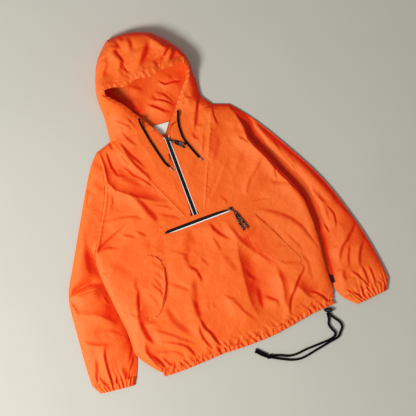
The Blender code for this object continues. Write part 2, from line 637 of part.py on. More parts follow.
def hem_front_rows(front):
    """The gathered casing under the front's lower edge, turned in at both ends."""
    seam = np.array(front[0][ROLL_COLUMNS:-ROLL_COLUMNS])
    count = HEM_WAVES * 3
    xs = np.linspace(seam[0, 0], seam[-1, 0], count + 1)
    rows = []
    for depth, gather in ((CASING_DEPTH, 1.0), (WIDE_SEAM, 0.25)):
        row = []
        for k, x in enumerate(xs):
            y, z = (np.interp(x, seam[:, 0], column) for column in seam[:, 1:].T)
            wave = GATHER * gather * math.sin(2 * math.pi * k / 3) * smooth(min(k, count - k) / 6)
            shift = 7 * depth / CASING_DEPTH * smooth(1 - k / 12)
            row.append((x + shift, y - depth, z + wave))
        (x0, y0, _), (x1, y1, _) = row[0], row[-1]
        rest, middle = CASING + LAY, (CASING + LAY + SIDE_RIM) / 2
        start = [(x0 + SIDE_ROLL, y0, rest), (x0 + SIDE_ROLL * 0.45, y0, middle)]
        end = [(x1 - SIDE_ROLL * 0.45, y1, middle), (x1 - SIDE_ROLL, y1, rest)]
        rows.append(start + row + end)
    return rows


def hem_back_outline(front):
    hem = [(x, y) for x, y in back_outline(front) if abs(y - hem_y(x)) < 0.01]
    lower = [(x + (7 if x == hem[0][0] else 0), y - CASING_DEPTH) for x, y in hem]
    return lower + [(x, y - SEAM) for x, y in hem[::-1]]


def build_body(collection, cloth):
    rows = front_rows()
    front = loft_mesh("front_panel", rows, skip=in_front_hole)
    finish("front_panel", front, cloth, collection, CLOTH)
    for sign, side in ((-1, "left"), (1, "right")):
        name = f"bib_{side}"
        finish(name, loft_mesh(name, bib_rows(sign), flip=sign > 0), cloth, collection, CLOTH)
    back = plate_mesh("back_panel", back_outline(rows), CLOTH)
    finish("back_panel", back, cloth, collection, CLOTH)
    casing = loft_mesh("hem_casing_front", hem_front_rows(rows))
    finish("hem_casing_front", casing, cloth, collection, CASING)
    casing = plate_mesh("hem_casing_back", hem_back_outline(rows), CASING)
    finish("hem_casing_back", casing, cloth, collection, CASING)
    return rows


# ---------------------------------------------------------------- sleeves and cuffs
def sleeve_ring(side, ring):
    """One ring of a sleeve's outer face: over the top from the outer fold, and back beneath."""
    table = np.array(SLEEVE[side], float)
    row = np.array([np.interp(ring, range(LAST_RING + 1), column) for column in table.T])
    outer, inner = row[:2], row[2:]
    width = math.dist(outer, inner)
    across = (inner - outer) / width
    away = np.array([across[1], -across[0]]) * -SIGN[side] * max(0.0, 1 - ring) * ARM_SEAM

    def plan(part):
        bowed = arm_point(side, part) - mix(arm_point(side, 0), arm_point(side, 1), part)
        return mix(outer, inner, part) + bowed * max(0.0, 1 - ring / 3) ** 2 + away

    outer_rim = SHOULDER_RIM + (SLEEVE_RIM - SHOULDER_RIM) * smooth(ring / 4)
    inner_rim = float(mix(SIDE_RIM, INNER_RIM, smooth(ring / TUCKED_RING)))
    points = [(*plan(0), outer_rim)]
    points += [(*plan(p), sleeve_height(side, ring, *plan(p))) for p in RING_PLACES[1:-1]]
    points.append((*plan(1), inner_rim))
    near, far = TURN_NEAR / width, TURN_FAR / width
    points.append((*plan(1 - near), inner_rim * 0.3))
    points += [(*plan(p), 0.0) for p in (1 - far, 0.72, 0.36, far)]
    points.append((*plan(near), outer_rim * 0.3))
    return points


def cuff_ring(side, part):
    """One ring of a cuff, from 0 at the sleeve's end to 1 at its mouth."""
    start = np.array(SLEEVE[side][-1], float)
    row = mix(start, CUFF_END[side], part)
    if part == 0:
        row[1::2] -= WIDE_SEAM
    outer, inner = row[:2], row[2:]
    width = math.dist(outer, inner)
    outer_rim = float(mix(SLEEVE_RIM, 5.5, part))
    inner_rim = float(mix(INNER_RIM, 5.5, part))
    count = CUFF_WAVES * 3
    points = [(*outer, outer_rim)]
    for k in range(1, count):
        place = k / count
        near = min(place * width / EDGE_RADIUS, 1.0)
        rim = float(mix(outer_rim, inner_rim, place))
        rise = dome(near) * dome((1 - place) * width / EDGE_RADIUS)
        wave = GATHER * math.sin(2 * math.pi * k / 3) * (0.3 + 0.7 * smooth(part * 3))
        points.append((*mix(outer, inner, place), rim + (CUFF_LOFT - rim) * rise + wave * rise))
    points.append((*inner, inner_rim))
    near, far = TURN_NEAR / width, TURN_FAR / width
    points.append((*mix(outer, inner, 1 - near), inner_rim * 0.3))
    points += [(*mix(outer, inner, p), 0.0) for p in (1 - far, 0.5, far)]
    points.append((*mix(outer, inner, near), outer_rim * 0.3))
    return points


def build_sleeves(collection, cloth):
    for side in SLEEVE:
        flip = side == "left"
        rings = [sleeve_ring(side, LAST_RING * k / SLEEVE_RINGS) for k in range(SLEEVE_RINGS + 1)]
        name = f"sleeve_{side}"
        mesh = loft_mesh(name, rings, closed=True, flip=flip)
        finish(name, mesh, cloth, collection, CLOTH)
        name = f"cuff_{side}"
        rings = [cuff_ring(side, part) for part in (0.0, 0.4, 0.75, 1.0)]
        mesh = loft_mesh(name, rings, closed=True, flip=flip)
        finish(name, mesh, cloth, collection, CLOTH)


# ---------------------------------------------------------------- hood
def hood_station(side, number):
    """Opening's edge, direction outwards, width and heights of a hood station."""
    x0, y0, high, x1, y1, swell = HOOD[side][number]
    edge, outline = np.array([x0, y0], float), np.array([x1, y1], float)
    width = math.dist(edge, outline)
    return edge, (outline - edge) / width, width, high, swell


def hood_point(side, number, reach):
    """The hood's outer face, this far out from the opening's edge."""
    edge, out, width, high, swell = hood_station(side, number)
    x, y = edge + out * reach
    if number == 0:
        return (x, y, body_height(x, y))
    part = min(reach / width, 1.0)
    rise = (1 - part**2.4) ** 0.6
    fold = fold_height(FOLDS, x, y) * 4 * part * (1 - part) if part < 1 else 0.0
    return (x, y, HOOD_RIM + (high - HOOD_RIM) * rise + swell * 4 * part * (1 - part) + fold)


def casing_width(side, number):
    return min(CASING_DEPTH, 0.45 * hood_station(side, number)[2])


def hood_gap(side, number):
    """The seam's gap along a station's line, which meets the casing at a slant."""
    last = len(HOOD[side]) - 1
    before = hood_station(side, max(number - 1, 0))[0]
    after = hood_station(side, min(number + 1, last))[0]
    run = (after - before) / math.dist(before, after)
    out = hood_station(side, number)[1]
    return HOOD_SEAM / max(abs(out[0] * run[1] - out[1] * run[0]), 0.35)


def hood_column(side, number, shift=0.0):
    """A hood panel's points at a station, from the casing to its turned-in edge."""
    _, out, width, _, _ = hood_station(side, number)
    start = casing_width(side, number) + hood_gap(side, number)
    column = [hood_point(side, number, start + (width - start) * part) for part in HOOD_PLACES]
    rim = column[-1][2]
    x, y = column[-1][:2]
    column.append((x - out[0] * HOOD_ROLL * 0.35, y - out[1] * HOOD_ROLL * 0.35, ROLL_REST + rim * 0.2))
    column.append((x - out[0] * HOOD_ROLL, y - out[1] * HOOD_ROLL, ROLL_REST))
    return [(px + shift, py, pz) for px, py, pz in column]


def hood_casing_rows():
    """The gathered channel round the face, from the left side of the neck to the right."""
    stations = [("left", k) for k in range(len(HOOD["left"]))]
    stations += [("right", k) for k in range(len(HOOD["right"]))][::-1]
    count = HOOD_WAVES * 3
    rows = []
    for part, gather in ((0.0, 1.0), (1.0, 0.2)):
        line = [hood_point(side, k, casing_width(side, k) * part) for side, k in stations]
        row = []
        for k in range(count + 1):
            place = k / count * (len(stations) - 1)
            x, y, z = (np.interp(place, range(len(stations)), c) for c in np.array(line).T)
            wave = GATHER * gather * math.sin(2 * math.pi * k / 3) * smooth(min(k, count - k) / 6)
            row.append((x, y, z + wave))
        rows.append(row)
    return rows


def hood_back_rows():
    """The half of the centre strip that lies on the floor, from the neck up."""
    rows = []
    for k in range(len(HOOD["left"])):
        ends = []
        for side in HOOD:
            edge, out, width, _, _ = hood_station(side, k)
            ends.append(edge + out * (width - HOOD_INSET))
        if k == 0:
            ends = [np.array(NECK_LEFT) + (HOOD_INSET, 0), np.array(NECK_RIGHT) - (HOOD_INSET, 0)]
        row = []
        for j in range(HOOD_BACK_CELLS + 1):
            x, y = mix(*ends, j / HOOD_BACK_CELLS)
            inside = smooth((min(math.dist((x, y), end) for end in ends) - 8) / 24)
            row.append((x, y, CLOTH + fold_height(HOOD_FOLDS, x, y) * inside))
        rows.append(row)
    return rows


def build_hood(collection, cloth):
    half = WIDE_SEAM / 2
    for side in HOOD:
        sign = SIGN[side]
        columns = [hood_column(side, k) for k in range(CROWN_SEAM)]
        columns.append(hood_column(side, CROWN_SEAM, sign * half))
        name = f"hood_side_{side}"
        finish(name, loft_mesh(name, columns, flip=side == "left"), cloth, collection, CLOTH)
    crown = [hood_column("left", CROWN_SEAM, half), hood_column("left", CROWN_SEAM + 1)]
    crown += [hood_column("right", CROWN_SEAM + 1), hood_column("right", CROWN_SEAM, -half)]
    finish("hood_crown", loft_mesh("hood_crown", crown, flip=True), cloth, collection, CLOTH)
    casing = loft_mesh("hood_casing", hood_casing_rows())
    finish("hood_casing", casing, cloth, collection, CASING)
    back = loft_mesh("hood_back", hood_back_rows())
    finish("hood_back", back, cloth, collection, CLOTH)


# ---------------------------------------------------------------- pockets, zips and trims
def build_pockets(rows, collection, cloth):
    """Each D pocket is the front's own sheet, moved out and cut to the pocket's outline."""
    for side, sign in SIGN.items():
        shape = bmesh.new()
        shape.from_mesh(loft_mesh("sheet", rows, skip=in_front_hole))
        shape.normal_update()
        moved = [v.co + v.normal * (POCKET_RISE + CLOTH) * MM for v in shape.verts]
        for v, place in zip(shape.verts, moved):
            v.co = place
        mirrored = [(POCKET_RIGHT_SHIFT - x, y) for x, y in POCKET[::-1]]
        outline = POCKET if sign < 0 else mirrored
        for (x0, y0), (x1, y1) in zip(outline, outline[1:] + outline[:1]):
            everything = shape.verts[:] + shape.edges[:] + shape.faces[:]
            out = Vector((y0 - y1, x1 - x0, 0.0)).normalized()
            bmesh.ops.bisect_plane(shape, geom=everything, plane_co=to_metres((x0, y0, 0)),
                                   plane_no=out, clear_outer=True)
        name = f"pocket_{side}"
        finish(name, mesh_from(name, shape), cloth, collection, CLOTH)


def zip_level(part):
    """The level of a bib row at the neck zip."""
    return BIB_FOOT_Y + SEAM + (ZIP_TOP_Y - BIB_FOOT_Y - SEAM) * part


def on_body(x, y, rise):
    return (x, y, body_height(x, y) + rise)


def build_zips(collection, materials):
    levels = [zip_level(part) for part in UPPER_PARTS]
    for sign, side in ((-1, "left"), (1, "right")):
        rows = []
        for y in levels:
            outer = zip_line(y) - TAPE_GAP
            inner = outer - (TAPE_OUT - TAPE_IN)
            rows.append([on_body(sign * x, y, -TAPE_SUNK) for x in (outer, inner)])
        name = f"neck_zip_tape_{side}"
        tape = loft_mesh(name, rows, flip=sign > 0)
        finish(name, tape, materials["zip_tape"], collection, TAPE_WALL)
    closed = [y for y in levels if y < SLIDER_Y + SEAM]
    rows = [[on_body(x, y, CHAIN_RISE) for x in (-CHAIN_HALF, CHAIN_HALF)] for y in closed]
    chain = loft_mesh("neck_zip_chain", rows)
    finish("neck_zip_chain", chain, materials["zip_black"], collection, CHAIN_WALL)
    xs = np.linspace(SEAM - POCKET_ZIP_HALF, POCKET_ZIP_HALF - SEAM, POCKET_ZIP_CELLS + 1)
    for name, (low, high, rise, wall) in POCKET_STRIPS.items():
        rows = [[on_body(x, y, rise) for x in xs] for y in (low, high)]
        material = materials["zip_black" if name.endswith("chain") else "zip_tape"]
        finish(name, loft_mesh(name, rows), material, collection, wall)


def build_pull(zip_name, collection, cutters, materials):
    """A slider with two lugs, and the tab between them with its knotted cord."""
    x, y, base, turn, way = SLIDERS[zip_name]
    hard = materials["black_hardware"]
    top = base + SLIDER_SIZE[2]
    pivot = (x, y, top + LAY + BARREL_RADIUS)
    heading = math.atan2(way[1], way[0])

    slider = finish(f"{zip_name}_zip_slider", block(SLIDER_SIZE), hard, collection)
    slider.location = to_metres((x, y, base + SLIDER_SIZE[2] / 2))
    slider.rotation_euler.z = math.radians(turn)
    round_edges(slider, SLIDER_EDGE)
    low, high = top - LUG_SUNK, pivot[2] + LUG_CAP
    reach = BARREL_LENGTH / 2 + LAY + LUG_WIDTH / 2
    for sign, end in ((-1, "a"), (1, "b")):
        lug = finish(f"{zip_name}_lug_{end}", block((LUG_DEPTH, LUG_WIDTH, high - low)), hard, cutters)
        side = Vector((-way[1], way[0])) * sign * reach
        lug.location = to_metres((x + side.x, y + side.y, (low + high) / 2))
        lug.rotation_euler.z = heading
        boolean(slider, lug, "UNION")

    pull = bpy.data.objects.new(f"{zip_name}_pull", None)
    pull.location = to_metres(pivot)
    pull.rotation_euler.z = heading
    collection.objects.link(pull)
    plate = block((TAB_LENGTH, TAB_WIDTH, TAB_THICK), (TAB_LENGTH / 2, 0.0, 0.0))
    tab = finish(f"{zip_name}_pull_tab", plate, hard, collection)
    tab.parent = pull
    round_edges(tab, TAB_EDGE)
    size = (BARREL_RADIUS * 2, BARREL_LENGTH, BARREL_RADIUS * 2)
    barrel = finish(f"{zip_name}_barrel", drum(size, BARREL_SIDES, lying=True), hard, cutters)
    barrel.parent = pull
    boolean(tab, barrel, "UNION")
    cord = materials["cord_flecked"]
    knot = finish(f"{zip_name}_pull_knot", ball(KNOT_SIZE), cord, collection)
    knot.parent = pull
    knot.location = Vector((TAB_LENGTH + LAY + KNOT_SIZE[0] / 2, 0.0, -KNOT_DROP)) * MM
    still = Matrix.Translation(pull.location) @ Matrix.Rotation(heading, 4, "Z")
    for end, route in PULL_CORDS[zip_name].items():
        strand = tube(f"{zip_name}_pull_cord_{end}", route, PULL_CORD, cord, collection)
        strand.parent = pull
        strand.matrix_parent_inverse = still.inverted()


def build_cords(collection, cutters, materials):
    hard, black = materials["black_hardware"], materials["cord_black"]
    for side, (x, y, z, lean) in HOOD_EYELETS.items():
        bpy.ops.mesh.primitive_torus_add(
            major_radius=EYELET_MIDDLE * MM, minor_radius=EYELET_TUBE * MM,
            major_segments=16, minor_segments=6)
        ring = bpy.context.object.data
        bpy.data.objects.remove(bpy.context.object)
        ring.transform(Matrix.Diagonal((1.0, 1.0, EYELET_FLAT, 1.0)))
        eyelet = finish(f"hood_eyelet_{side}", ring, hard, collection)
        eyelet.location = to_metres((x, y, z))
        eyelet.rotation_euler.y = math.radians(lean)
        tube(f"hood_cord_{side}", HOOD_CORDS[side], HOOD_CORD, black, collection)
        tube(f"hood_cord_tip_{side}", HOOD_TIPS[side], TIP_SIZE, materials["tip_grey"], collection)

    lock = finish("hem_cord_lock", drum(LOCK_SIZE, LOCK_SIDES), hard, collection)
    recess = finish("lock_recess", drum(LOCK_RECESS, LOCK_SIDES), hard, cutters)
    button = finish("hem_lock_button", drum(LOCK_BUTTON, LOCK_SIDES), materials["tip_grey"], collection)
    floor = LOCK_SIZE[2] - LOCK_RECESS[2] / 2
    middles = ((lock, LOCK_SIZE[2] / 2), (recess, LOCK_SIZE[2]), (button, floor + LAY + LOCK_BUTTON[2] / 2))
    for item, z in middles:
        item.location = to_metres((*LOCK_MIDDLE, z))
        item.rotation_euler.z = math.radians(LOCK_TURN)
    boolean(lock, recess, "DIFFERENCE")
    knot = finish("hem_cord_knot", ball(HEM_KNOT_SIZE), black, collection)
    knot.location = to_metres(HEM_KNOT)
    for name, route in HEM_CORDS.items():
        tube(name, route, HEM_CORD, black, collection)


def build_labels(collection, materials):
    plate = plate_mesh("neck_label", NECK_LABEL, LABEL_TOP)
    finish("neck_label", plate, materials["label_white"], collection, LABEL_WALL)
    plate = plate_mesh("side_tab", SIDE_TAB, SIDE_TAB_TOP)
    finish("side_tab", plate, materials["tab_black"], collection, LABEL_WALL)


def main():
    clear_scene()
    garment = new_collection("anorak_pullover")
    cutters = new_collection("cutters")
    materials = {name: new_material(name) for name in MATERIALS}
    cloth = materials["nylon"]
    rows = build_body(garment, cloth)
    build_sleeves(garment, cloth)
    build_hood(garment, cloth)
    build_pockets(rows, garment, cloth)
    build_zips(garment, materials)
    for zip_name in SLIDERS:
        build_pull(zip_name, garment, cutters, materials)
    build_cords(garment, cutters, materials)
    build_labels(garment, materials)


main()
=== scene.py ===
# %% [markdown]
# # An anorak pullover, laid flat
#
# The garment lies on its back with its hood spread above the neck. Its stiff little parts, such as
# the zip sliders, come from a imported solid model. The cloth, stitching, zip teeth and cords are
# made here, on top of that model, and then lit and framed.

# %% Open the solid model
import math

import bpy
import numpy as np
from mathutils import Matrix, Vector
from mathutils.bvhtree import BVHTree


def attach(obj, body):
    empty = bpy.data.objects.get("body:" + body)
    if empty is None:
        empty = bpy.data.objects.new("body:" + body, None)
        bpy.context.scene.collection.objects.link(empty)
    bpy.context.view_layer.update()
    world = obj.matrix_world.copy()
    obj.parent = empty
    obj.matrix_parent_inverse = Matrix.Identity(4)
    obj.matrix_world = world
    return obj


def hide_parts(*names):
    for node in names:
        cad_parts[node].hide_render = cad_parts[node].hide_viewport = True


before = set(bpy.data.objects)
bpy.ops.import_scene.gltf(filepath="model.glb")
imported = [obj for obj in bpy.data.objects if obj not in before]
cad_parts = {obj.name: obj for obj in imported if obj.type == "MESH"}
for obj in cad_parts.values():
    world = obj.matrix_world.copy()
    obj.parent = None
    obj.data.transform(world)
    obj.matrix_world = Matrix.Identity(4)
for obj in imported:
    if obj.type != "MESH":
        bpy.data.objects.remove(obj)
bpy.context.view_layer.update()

MM = 0.001
print("solid parts:", len(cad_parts))

# %% [markdown]
# ## Measuring from the foot of the zip
#
# A tailor measures from a fixed point. Here it is the foot of the neck zip, in millimetres: X to
# the wearer's left, Y towards the hood and Z up from the table. One function turns such a point
# into the metres that the model uses.

# %% A tailor's measure
ZIP_FOOT = (-1.0, -76.1)  # where the zip's foot lies from the middle of the garment


def at(x, y, z=0.0):
    return Vector(((x + ZIP_FOOT[0]) * MM, (y + ZIP_FOOT[1]) * MM, z * MM))


def pattern_places(points):
    """The other way: an array of metres as pattern millimetres."""
    return points / MM - np.array([ZIP_FOOT[0], ZIP_FOOT[1], 0.0])


def pick_only(*items):
    """Leaves just these objects selected, the last of them active."""
    if bpy.context.object and bpy.context.object.mode != "OBJECT":
        bpy.ops.object.mode_set(mode="OBJECT")
    bpy.ops.object.select_all(action="DESELECT")
    for item in items:
        item.select_set(True)
        bpy.context.view_layer.objects.active = item


print("zip foot at", tuple(round(v, 4) for v in at(0, 0)))

# %% [markdown]
# ## The camera
#
# The garment is seen from straight above and a little turned, so that its hood points to the upper
# left. A long lens from far up keeps the raised hood from looking too large. The lens length
# follows from the height and from how much of the table shows.

# %% Camera over the table
CAMERA_HEIGHT = 3.6
FIELD = 1.248  # width of table in view
TURN = math.atan2(0.352, 0.936)

pick_only()
bpy.ops.object.camera_add(location=(0.041, -0.0761, CAMERA_HEIGHT + 0.015), rotation=(0, 0, -TURN))
camera = bpy.context.object
camera.name = "camera"
camera.data.lens = camera.data.sensor_width * CAMERA_HEIGHT / FIELD
bpy.context.scene.camera = camera
print("lens", round(camera.data.lens, 1), "mm")

# %% [markdown]
# ## Finishes
#
# A finish is a small network of nodes. Every one here starts from the same shader, with its colour,
# roughness and sheen set straight on the sockets, and gets its fine relief from a bump. Patterns
# that are the same all over read the object's own coordinates. Patterns that run along a cord
# read the cord's own UV map, whose V is the length along it in metres.

# %% A helper for nodes
def node(finish, kind, settings=None, inputs=None):
    """Adds a node. A socket given as an input is linked, and anything else is its value."""
    made = finish.node_tree.nodes.new(kind)
    for key, value in (settings or {}).items():
        setattr(made, key, value)
    for key, value in (inputs or {}).items():
        if isinstance(value, bpy.types.NodeSocket):
            finish.node_tree.links.new(value, made.inputs[key])
        else:
            made.inputs[key].default_value = value
    return made


def new_finish(name, colour, roughness, sockets=None):
    finish = bpy.data.materials.new(name)
    finish.use_nodes = True
    shader = finish.node_tree.nodes["Principled BSDF"]
    shader.inputs["Base Color"].default_value = (*colour, 1.0)
    shader.inputs["Roughness"].default_value = roughness
    for key, value in (sockets or {}).items():
        shader.inputs[key].default_value = value
    return finish, shader


def link(finish, source, target):
    finish.node_tree.links.new(source, target)


def colours_between(finish, factor, stops):
    """A colour ramp over the factor, from (place, colour) stops."""
    ramp = node(finish, "ShaderNodeValToRGB", inputs={"Fac": factor})
    while len(ramp.color_ramp.elements) < len(stops):
        ramp.color_ramp.elements.new(0.5)
    for element, (place, colour) in zip(ramp.color_ramp.elements, stops):
        element.position = place
        element.color = (*colour, 1.0)
    return ramp.outputs["Color"]


print("finish helpers ready")

# %% [markdown]
# ### Orange nylon
#
# The cloth is a thin plain-weave nylon. What the eye reads at arm's length is its strong orange,
# a soft sheen, and the small crumples between the large folds. The weave is far finer, so it is
# only a shallow bump. Shade is painted into the colour too: an attribute written when the folds
# are pressed in turns the orange a deeper red where the cloth is low, in the bottoms of creases
# where cloth lights cloth, on slopes turned from the light and where shadows fall, and paler on
# slopes that face the light, a painted highlight.

# %% Nylon finish
def add_crumple_and_weave(finish, shader, crumple=1.0, weave=1.0):
    place = node(finish, "ShaderNodeTexCoord").outputs["Object"]
    broad = node(finish, "ShaderNodeTexNoise", inputs={
        "Vector": place, "Scale": 26.0, "Detail": 5.0, "Roughness": 0.62, "Distortion": 0.9})
    fine = node(finish, "ShaderNodeTexNoise", inputs={
        "Vector": place, "Scale": 120.0, "Detail": 3.0, "Roughness": 0.5, "Distortion": 0.4})
    bump = node(finish, "ShaderNodeBump", inputs={
        "Height": broad.outputs["Fac"], "Strength": 0.3 * crumple, "Distance": 0.006})
    bump = node(finish, "ShaderNodeBump", inputs={
        "Height": fine.outputs["Fac"], "Strength": 0.3 * crumple, "Distance": 0.0012,
        "Normal": bump.outputs["Normal"]})
    for direction in ("X", "Y"):
        threads = node(finish, "ShaderNodeTexWave", {"bands_direction": direction}, {
            "Vector": place, "Scale": 420.0, "Distortion": 0.6, "Detail": 1.0})
        bump = node(finish, "ShaderNodeBump", inputs={
            "Height": threads.outputs["Fac"], "Strength": 0.18 * weave, "Distance": 0.0002,
            "Normal": bump.outputs["Normal"]})
    link(finish, bump.outputs["Normal"], shader.inputs["Normal"])
    return place


def make_nylon(name, painted_lit_colour, light, painted_shade_colour):
    finish, shader = new_finish(name, light, 0.48, {
        "Sheen Weight": 0.02, "Sheen Roughness": 0.5, "Specular IOR Level": 0.16})
    place = add_crumple_and_weave(finish, shader, crumple=1.8)
    dye = node(finish, "ShaderNodeTexNoise", inputs={"Vector": place, "Scale": 7.0, "Detail": 3.0})
    # painted shade: read from the attribute that deepens the orange in hollows, on slopes turned from the light and
    # in painted shadows
    painted_shade = node(finish, "ShaderNodeAttribute", {"attribute_name": "painted_shade"})
    both = node(finish, "ShaderNodeMath", {"operation": "MULTIPLY_ADD"}, {
        0: dye.outputs["Fac"], 1: 0.08, 2: painted_shade.outputs["Fac"]})
    # painted tones: a paler painted highlight at 0, the cloth's own orange at 0.3, painted shade at 0.95
    colour = colours_between(finish, both.outputs[0], [(0.0, painted_lit_colour), (0.3, light), (0.95, painted_shade_colour)])
    link(finish, colour, shader.inputs["Base Color"])
    return finish


# a paler painted highlight tone, the cloth's own orange, and the deep red of the painted shade
NYLON = make_nylon("orange nylon", (0.96, 0.175, 0.026), (0.93, 0.135, 0.014), (0.92, 0.024, 0.0005))
print("made", NYLON.name)

# %% [markdown]
# ### Cord and trim finishes
#
# The drawcords are black braid: two sets of strands that wind against each other. Two slanted
# waves over the UV map, the higher of them at each point, give that plait. The zip pulls' cord is
# the same braid with white flecks, which are the strands of a second yarn.

# %% Braid, tape, coil and hardware finishes
def make_braid(name, dark, light, strand=0.0026, flecks=False):
    finish, shader = new_finish(name, dark, 0.8, {"Sheen Weight": 0.0, "Specular IOR Level": 0.06})
    along = node(finish, "ShaderNodeUVMap", {"uv_map": "along"}).outputs["UV"]
    parts = node(finish, "ShaderNodeSeparateXYZ", inputs={"Vector": along})
    heights = []
    for sign in (1.0, -1.0):
        turned = node(finish, "ShaderNodeMath", {"operation": "MULTIPLY"}, {
            0: parts.outputs["X"], 1: sign * 4.0})
        run = node(finish, "ShaderNodeMath", {"operation": "MULTIPLY_ADD"}, {
            0: parts.outputs["Y"], 1: 1.0 / strand, 2: turned.outputs[0]})
        wave = node(finish, "ShaderNodeMath", {"operation": "PINGPONG"}, {
            0: run.outputs[0], 1: 0.5})
        heights.append(wave.outputs[0])
    top = node(finish, "ShaderNodeMath", {"operation": "MAXIMUM"}, {0: heights[0], 1: heights[1]})
    bump = node(finish, "ShaderNodeBump", inputs={
        "Height": top.outputs[0], "Strength": 0.9, "Distance": 0.0006})
    link(finish, bump.outputs["Normal"], shader.inputs["Normal"])
    if flecks:
        scale = node(finish, "ShaderNodeMapping", inputs={"Vector": along, "Scale": (3.0, 260.0, 1.0)})
        spots = node(finish, "ShaderNodeTexVoronoi", {"feature": "F1"}, {
            "Vector": scale.outputs["Vector"], "Scale": 1.6})
        colour = colours_between(finish, spots.outputs["Distance"], [
            (0.0, light), (0.27, light), (0.33, dark), (1.0, dark)])
    else:
        # painted shade: the braid's colour follows the plait's height, paler on the strands' tops and darker in the
        # grooves between them
        colour = colours_between(finish, top.outputs[0], [(0.2, dark), (0.5, light)])
    link(finish, colour, shader.inputs["Base Color"])
    return finish


def make_ribbed(name, low, high, period, roughness, direction="X"):
    """Woven tape or a moulded part with fine ribs."""
    finish, shader = new_finish(name, high, roughness, {"Specular IOR Level": 0.35})
    place = node(finish, "ShaderNodeTexCoord").outputs["Object"]
    ribs = node(finish, "ShaderNodeTexWave", {"bands_direction": direction}, {
        "Vector": place, "Scale": 0.314 / period, "Distortion": 0.8, "Detail": 2.0,
        "Detail Scale": 3.0})
    # painted shade: the colour follows the ribs' height, darker in their grooves and paler on their crests
    colour = colours_between(finish, ribs.outputs["Fac"], [(0.1, low), (0.9, high)])
    link(finish, colour, shader.inputs["Base Color"])
    bump = node(finish, "ShaderNodeBump", inputs={
        "Height": ribs.outputs["Fac"], "Strength": 0.4, "Distance": 0.0003})
    link(finish, bump.outputs["Normal"], shader.inputs["Normal"])
    return finish


def make_moulded(name, colour, worn, roughness, metallic=0.0):
    """Plastic or enamelled metal with a fine grain and slightly rubbed patches."""
    finish, shader = new_finish(name, colour, roughness, {"Metallic": metallic})
    place = node(finish, "ShaderNodeTexCoord").outputs["Object"]
    grain = node(finish, "ShaderNodeTexNoise", inputs={
        "Vector": place, "Scale": 900.0, "Detail": 3.0})
    patches = node(finish, "ShaderNodeTexNoise", inputs={
        "Vector": place, "Scale": 160.0, "Detail": 4.0, "Roughness": 0.6})
    shade = colours_between(finish, patches.outputs["Fac"], [(0.45, colour), (0.8, worn)])
    link(finish, shade, shader.inputs["Base Color"])
    rough = node(finish, "ShaderNodeMapRange", inputs={
        "Value": patches.outputs["Fac"], "To Min": roughness - 0.08, "To Max": roughness + 0.12})
    link(finish, rough.outputs["Result"], shader.inputs["Roughness"])
    bump = node(finish, "ShaderNodeBump", inputs={
        "Height": grain.outputs["Fac"], "Strength": 0.2, "Distance": 0.0002})
    link(finish, bump.outputs["Normal"], shader.inputs["Normal"])
    return finish


BLACK_BRAID = make_braid("black braid", (0.002, 0.002, 0.002), (0.007, 0.007, 0.008))
FLECKED_BRAID = make_braid("flecked braid", (0.004, 0.004, 0.004), (0.50, 0.48, 0.46), flecks=True)
def blacken_inside(finish, axis, middle, half, dark):
    """Dyes a tape black where it is nearer than half to the zip's line, which runs past middle on this axis."""
    tree = finish.node_tree
    shader = tree.nodes["Principled BSDF"]
    colour = shader.inputs["Base Color"].links[0].from_socket
    place = node(finish, "ShaderNodeTexCoord").outputs["Object"]
    parts = node(finish, "ShaderNodeSeparateXYZ", inputs={"Vector": place})
    off = node(finish, "ShaderNodeMath", {"operation": "SUBTRACT"}, {0: parts.outputs[axis], 1: middle})
    size = node(finish, "ShaderNodeMath", {"operation": "ABSOLUTE"}, {0: off.outputs[0]})
    edge = node(finish, "ShaderNodeMapRange", inputs={
        "Value": size.outputs[0], "From Min": half - 0.0002, "From Max": half + 0.0002})
    both = node(finish, "ShaderNodeMix", {"data_type": "RGBA"}, {"Factor": edge.outputs["Result"]})
    both.inputs[6].default_value = (*dark, 1.0)
    link(finish, colour, both.inputs[7])
    link(finish, both.outputs[2], shader.inputs["Base Color"])
    return finish


def dye_past(finish, axis, past, colour):
    """Gives a tape another colour past a place on this axis, where it turns in under the cloth."""
    shader = finish.node_tree.nodes["Principled BSDF"]
    inner = shader.inputs["Base Color"].links[0].from_socket
    place = node(finish, "ShaderNodeTexCoord").outputs["Object"]
    parts = node(finish, "ShaderNodeSeparateXYZ", inputs={"Vector": place})
    edge = node(finish, "ShaderNodeMapRange", inputs={
        "Value": parts.outputs[axis], "From Min": past - 0.002, "From Max": past + 0.002})
    both = node(finish, "ShaderNodeMix", {"data_type": "RGBA"}, {"Factor": edge.outputs["Result"]})
    link(finish, inner, both.inputs[6])
    both.inputs[7].default_value = (*colour, 1.0)
    link(finish, both.outputs[2], shader.inputs["Base Color"])
    return finish


ZIP_TAPE = make_ribbed("zip tape", (0.78, 0.77, 0.72), (0.95, 0.94, 0.90), 0.0009, 0.8)
NECK_TAPE = blacken_inside(make_ribbed("neck zip tape", (0.78, 0.77, 0.72), (0.95, 0.94, 0.90), 0.0009, 0.8),
                           "X", at(0, 0).x, 0.0052, (0.008, 0.008, 0.009))
dye_past(NECK_TAPE, "Y", at(0, 244).y, (0.93, 0.115, 0.011))
ZIP_WEB = make_ribbed("zip web", (0.003, 0.003, 0.003), (0.012, 0.012, 0.013), 0.0010, 0.8, "DIAGONAL")
ZIP_NYLON = make_moulded("zip coil", (0.006, 0.006, 0.007), (0.02, 0.02, 0.022), 0.5)
ENAMEL = make_moulded("black enamel", (0.014, 0.014, 0.016), (0.06, 0.06, 0.065), 0.3, 0.35)
MOULDED_BLACK = make_moulded("moulded black", (0.005, 0.005, 0.005), (0.012, 0.012, 0.013), 0.42)
BUTTON_GREY = make_moulded("button grey", (0.02, 0.02, 0.022), (0.06, 0.06, 0.062), 0.4)
TIP_GREY = make_moulded("tip grey", (0.20, 0.195, 0.19), (0.38, 0.37, 0.36), 0.34)
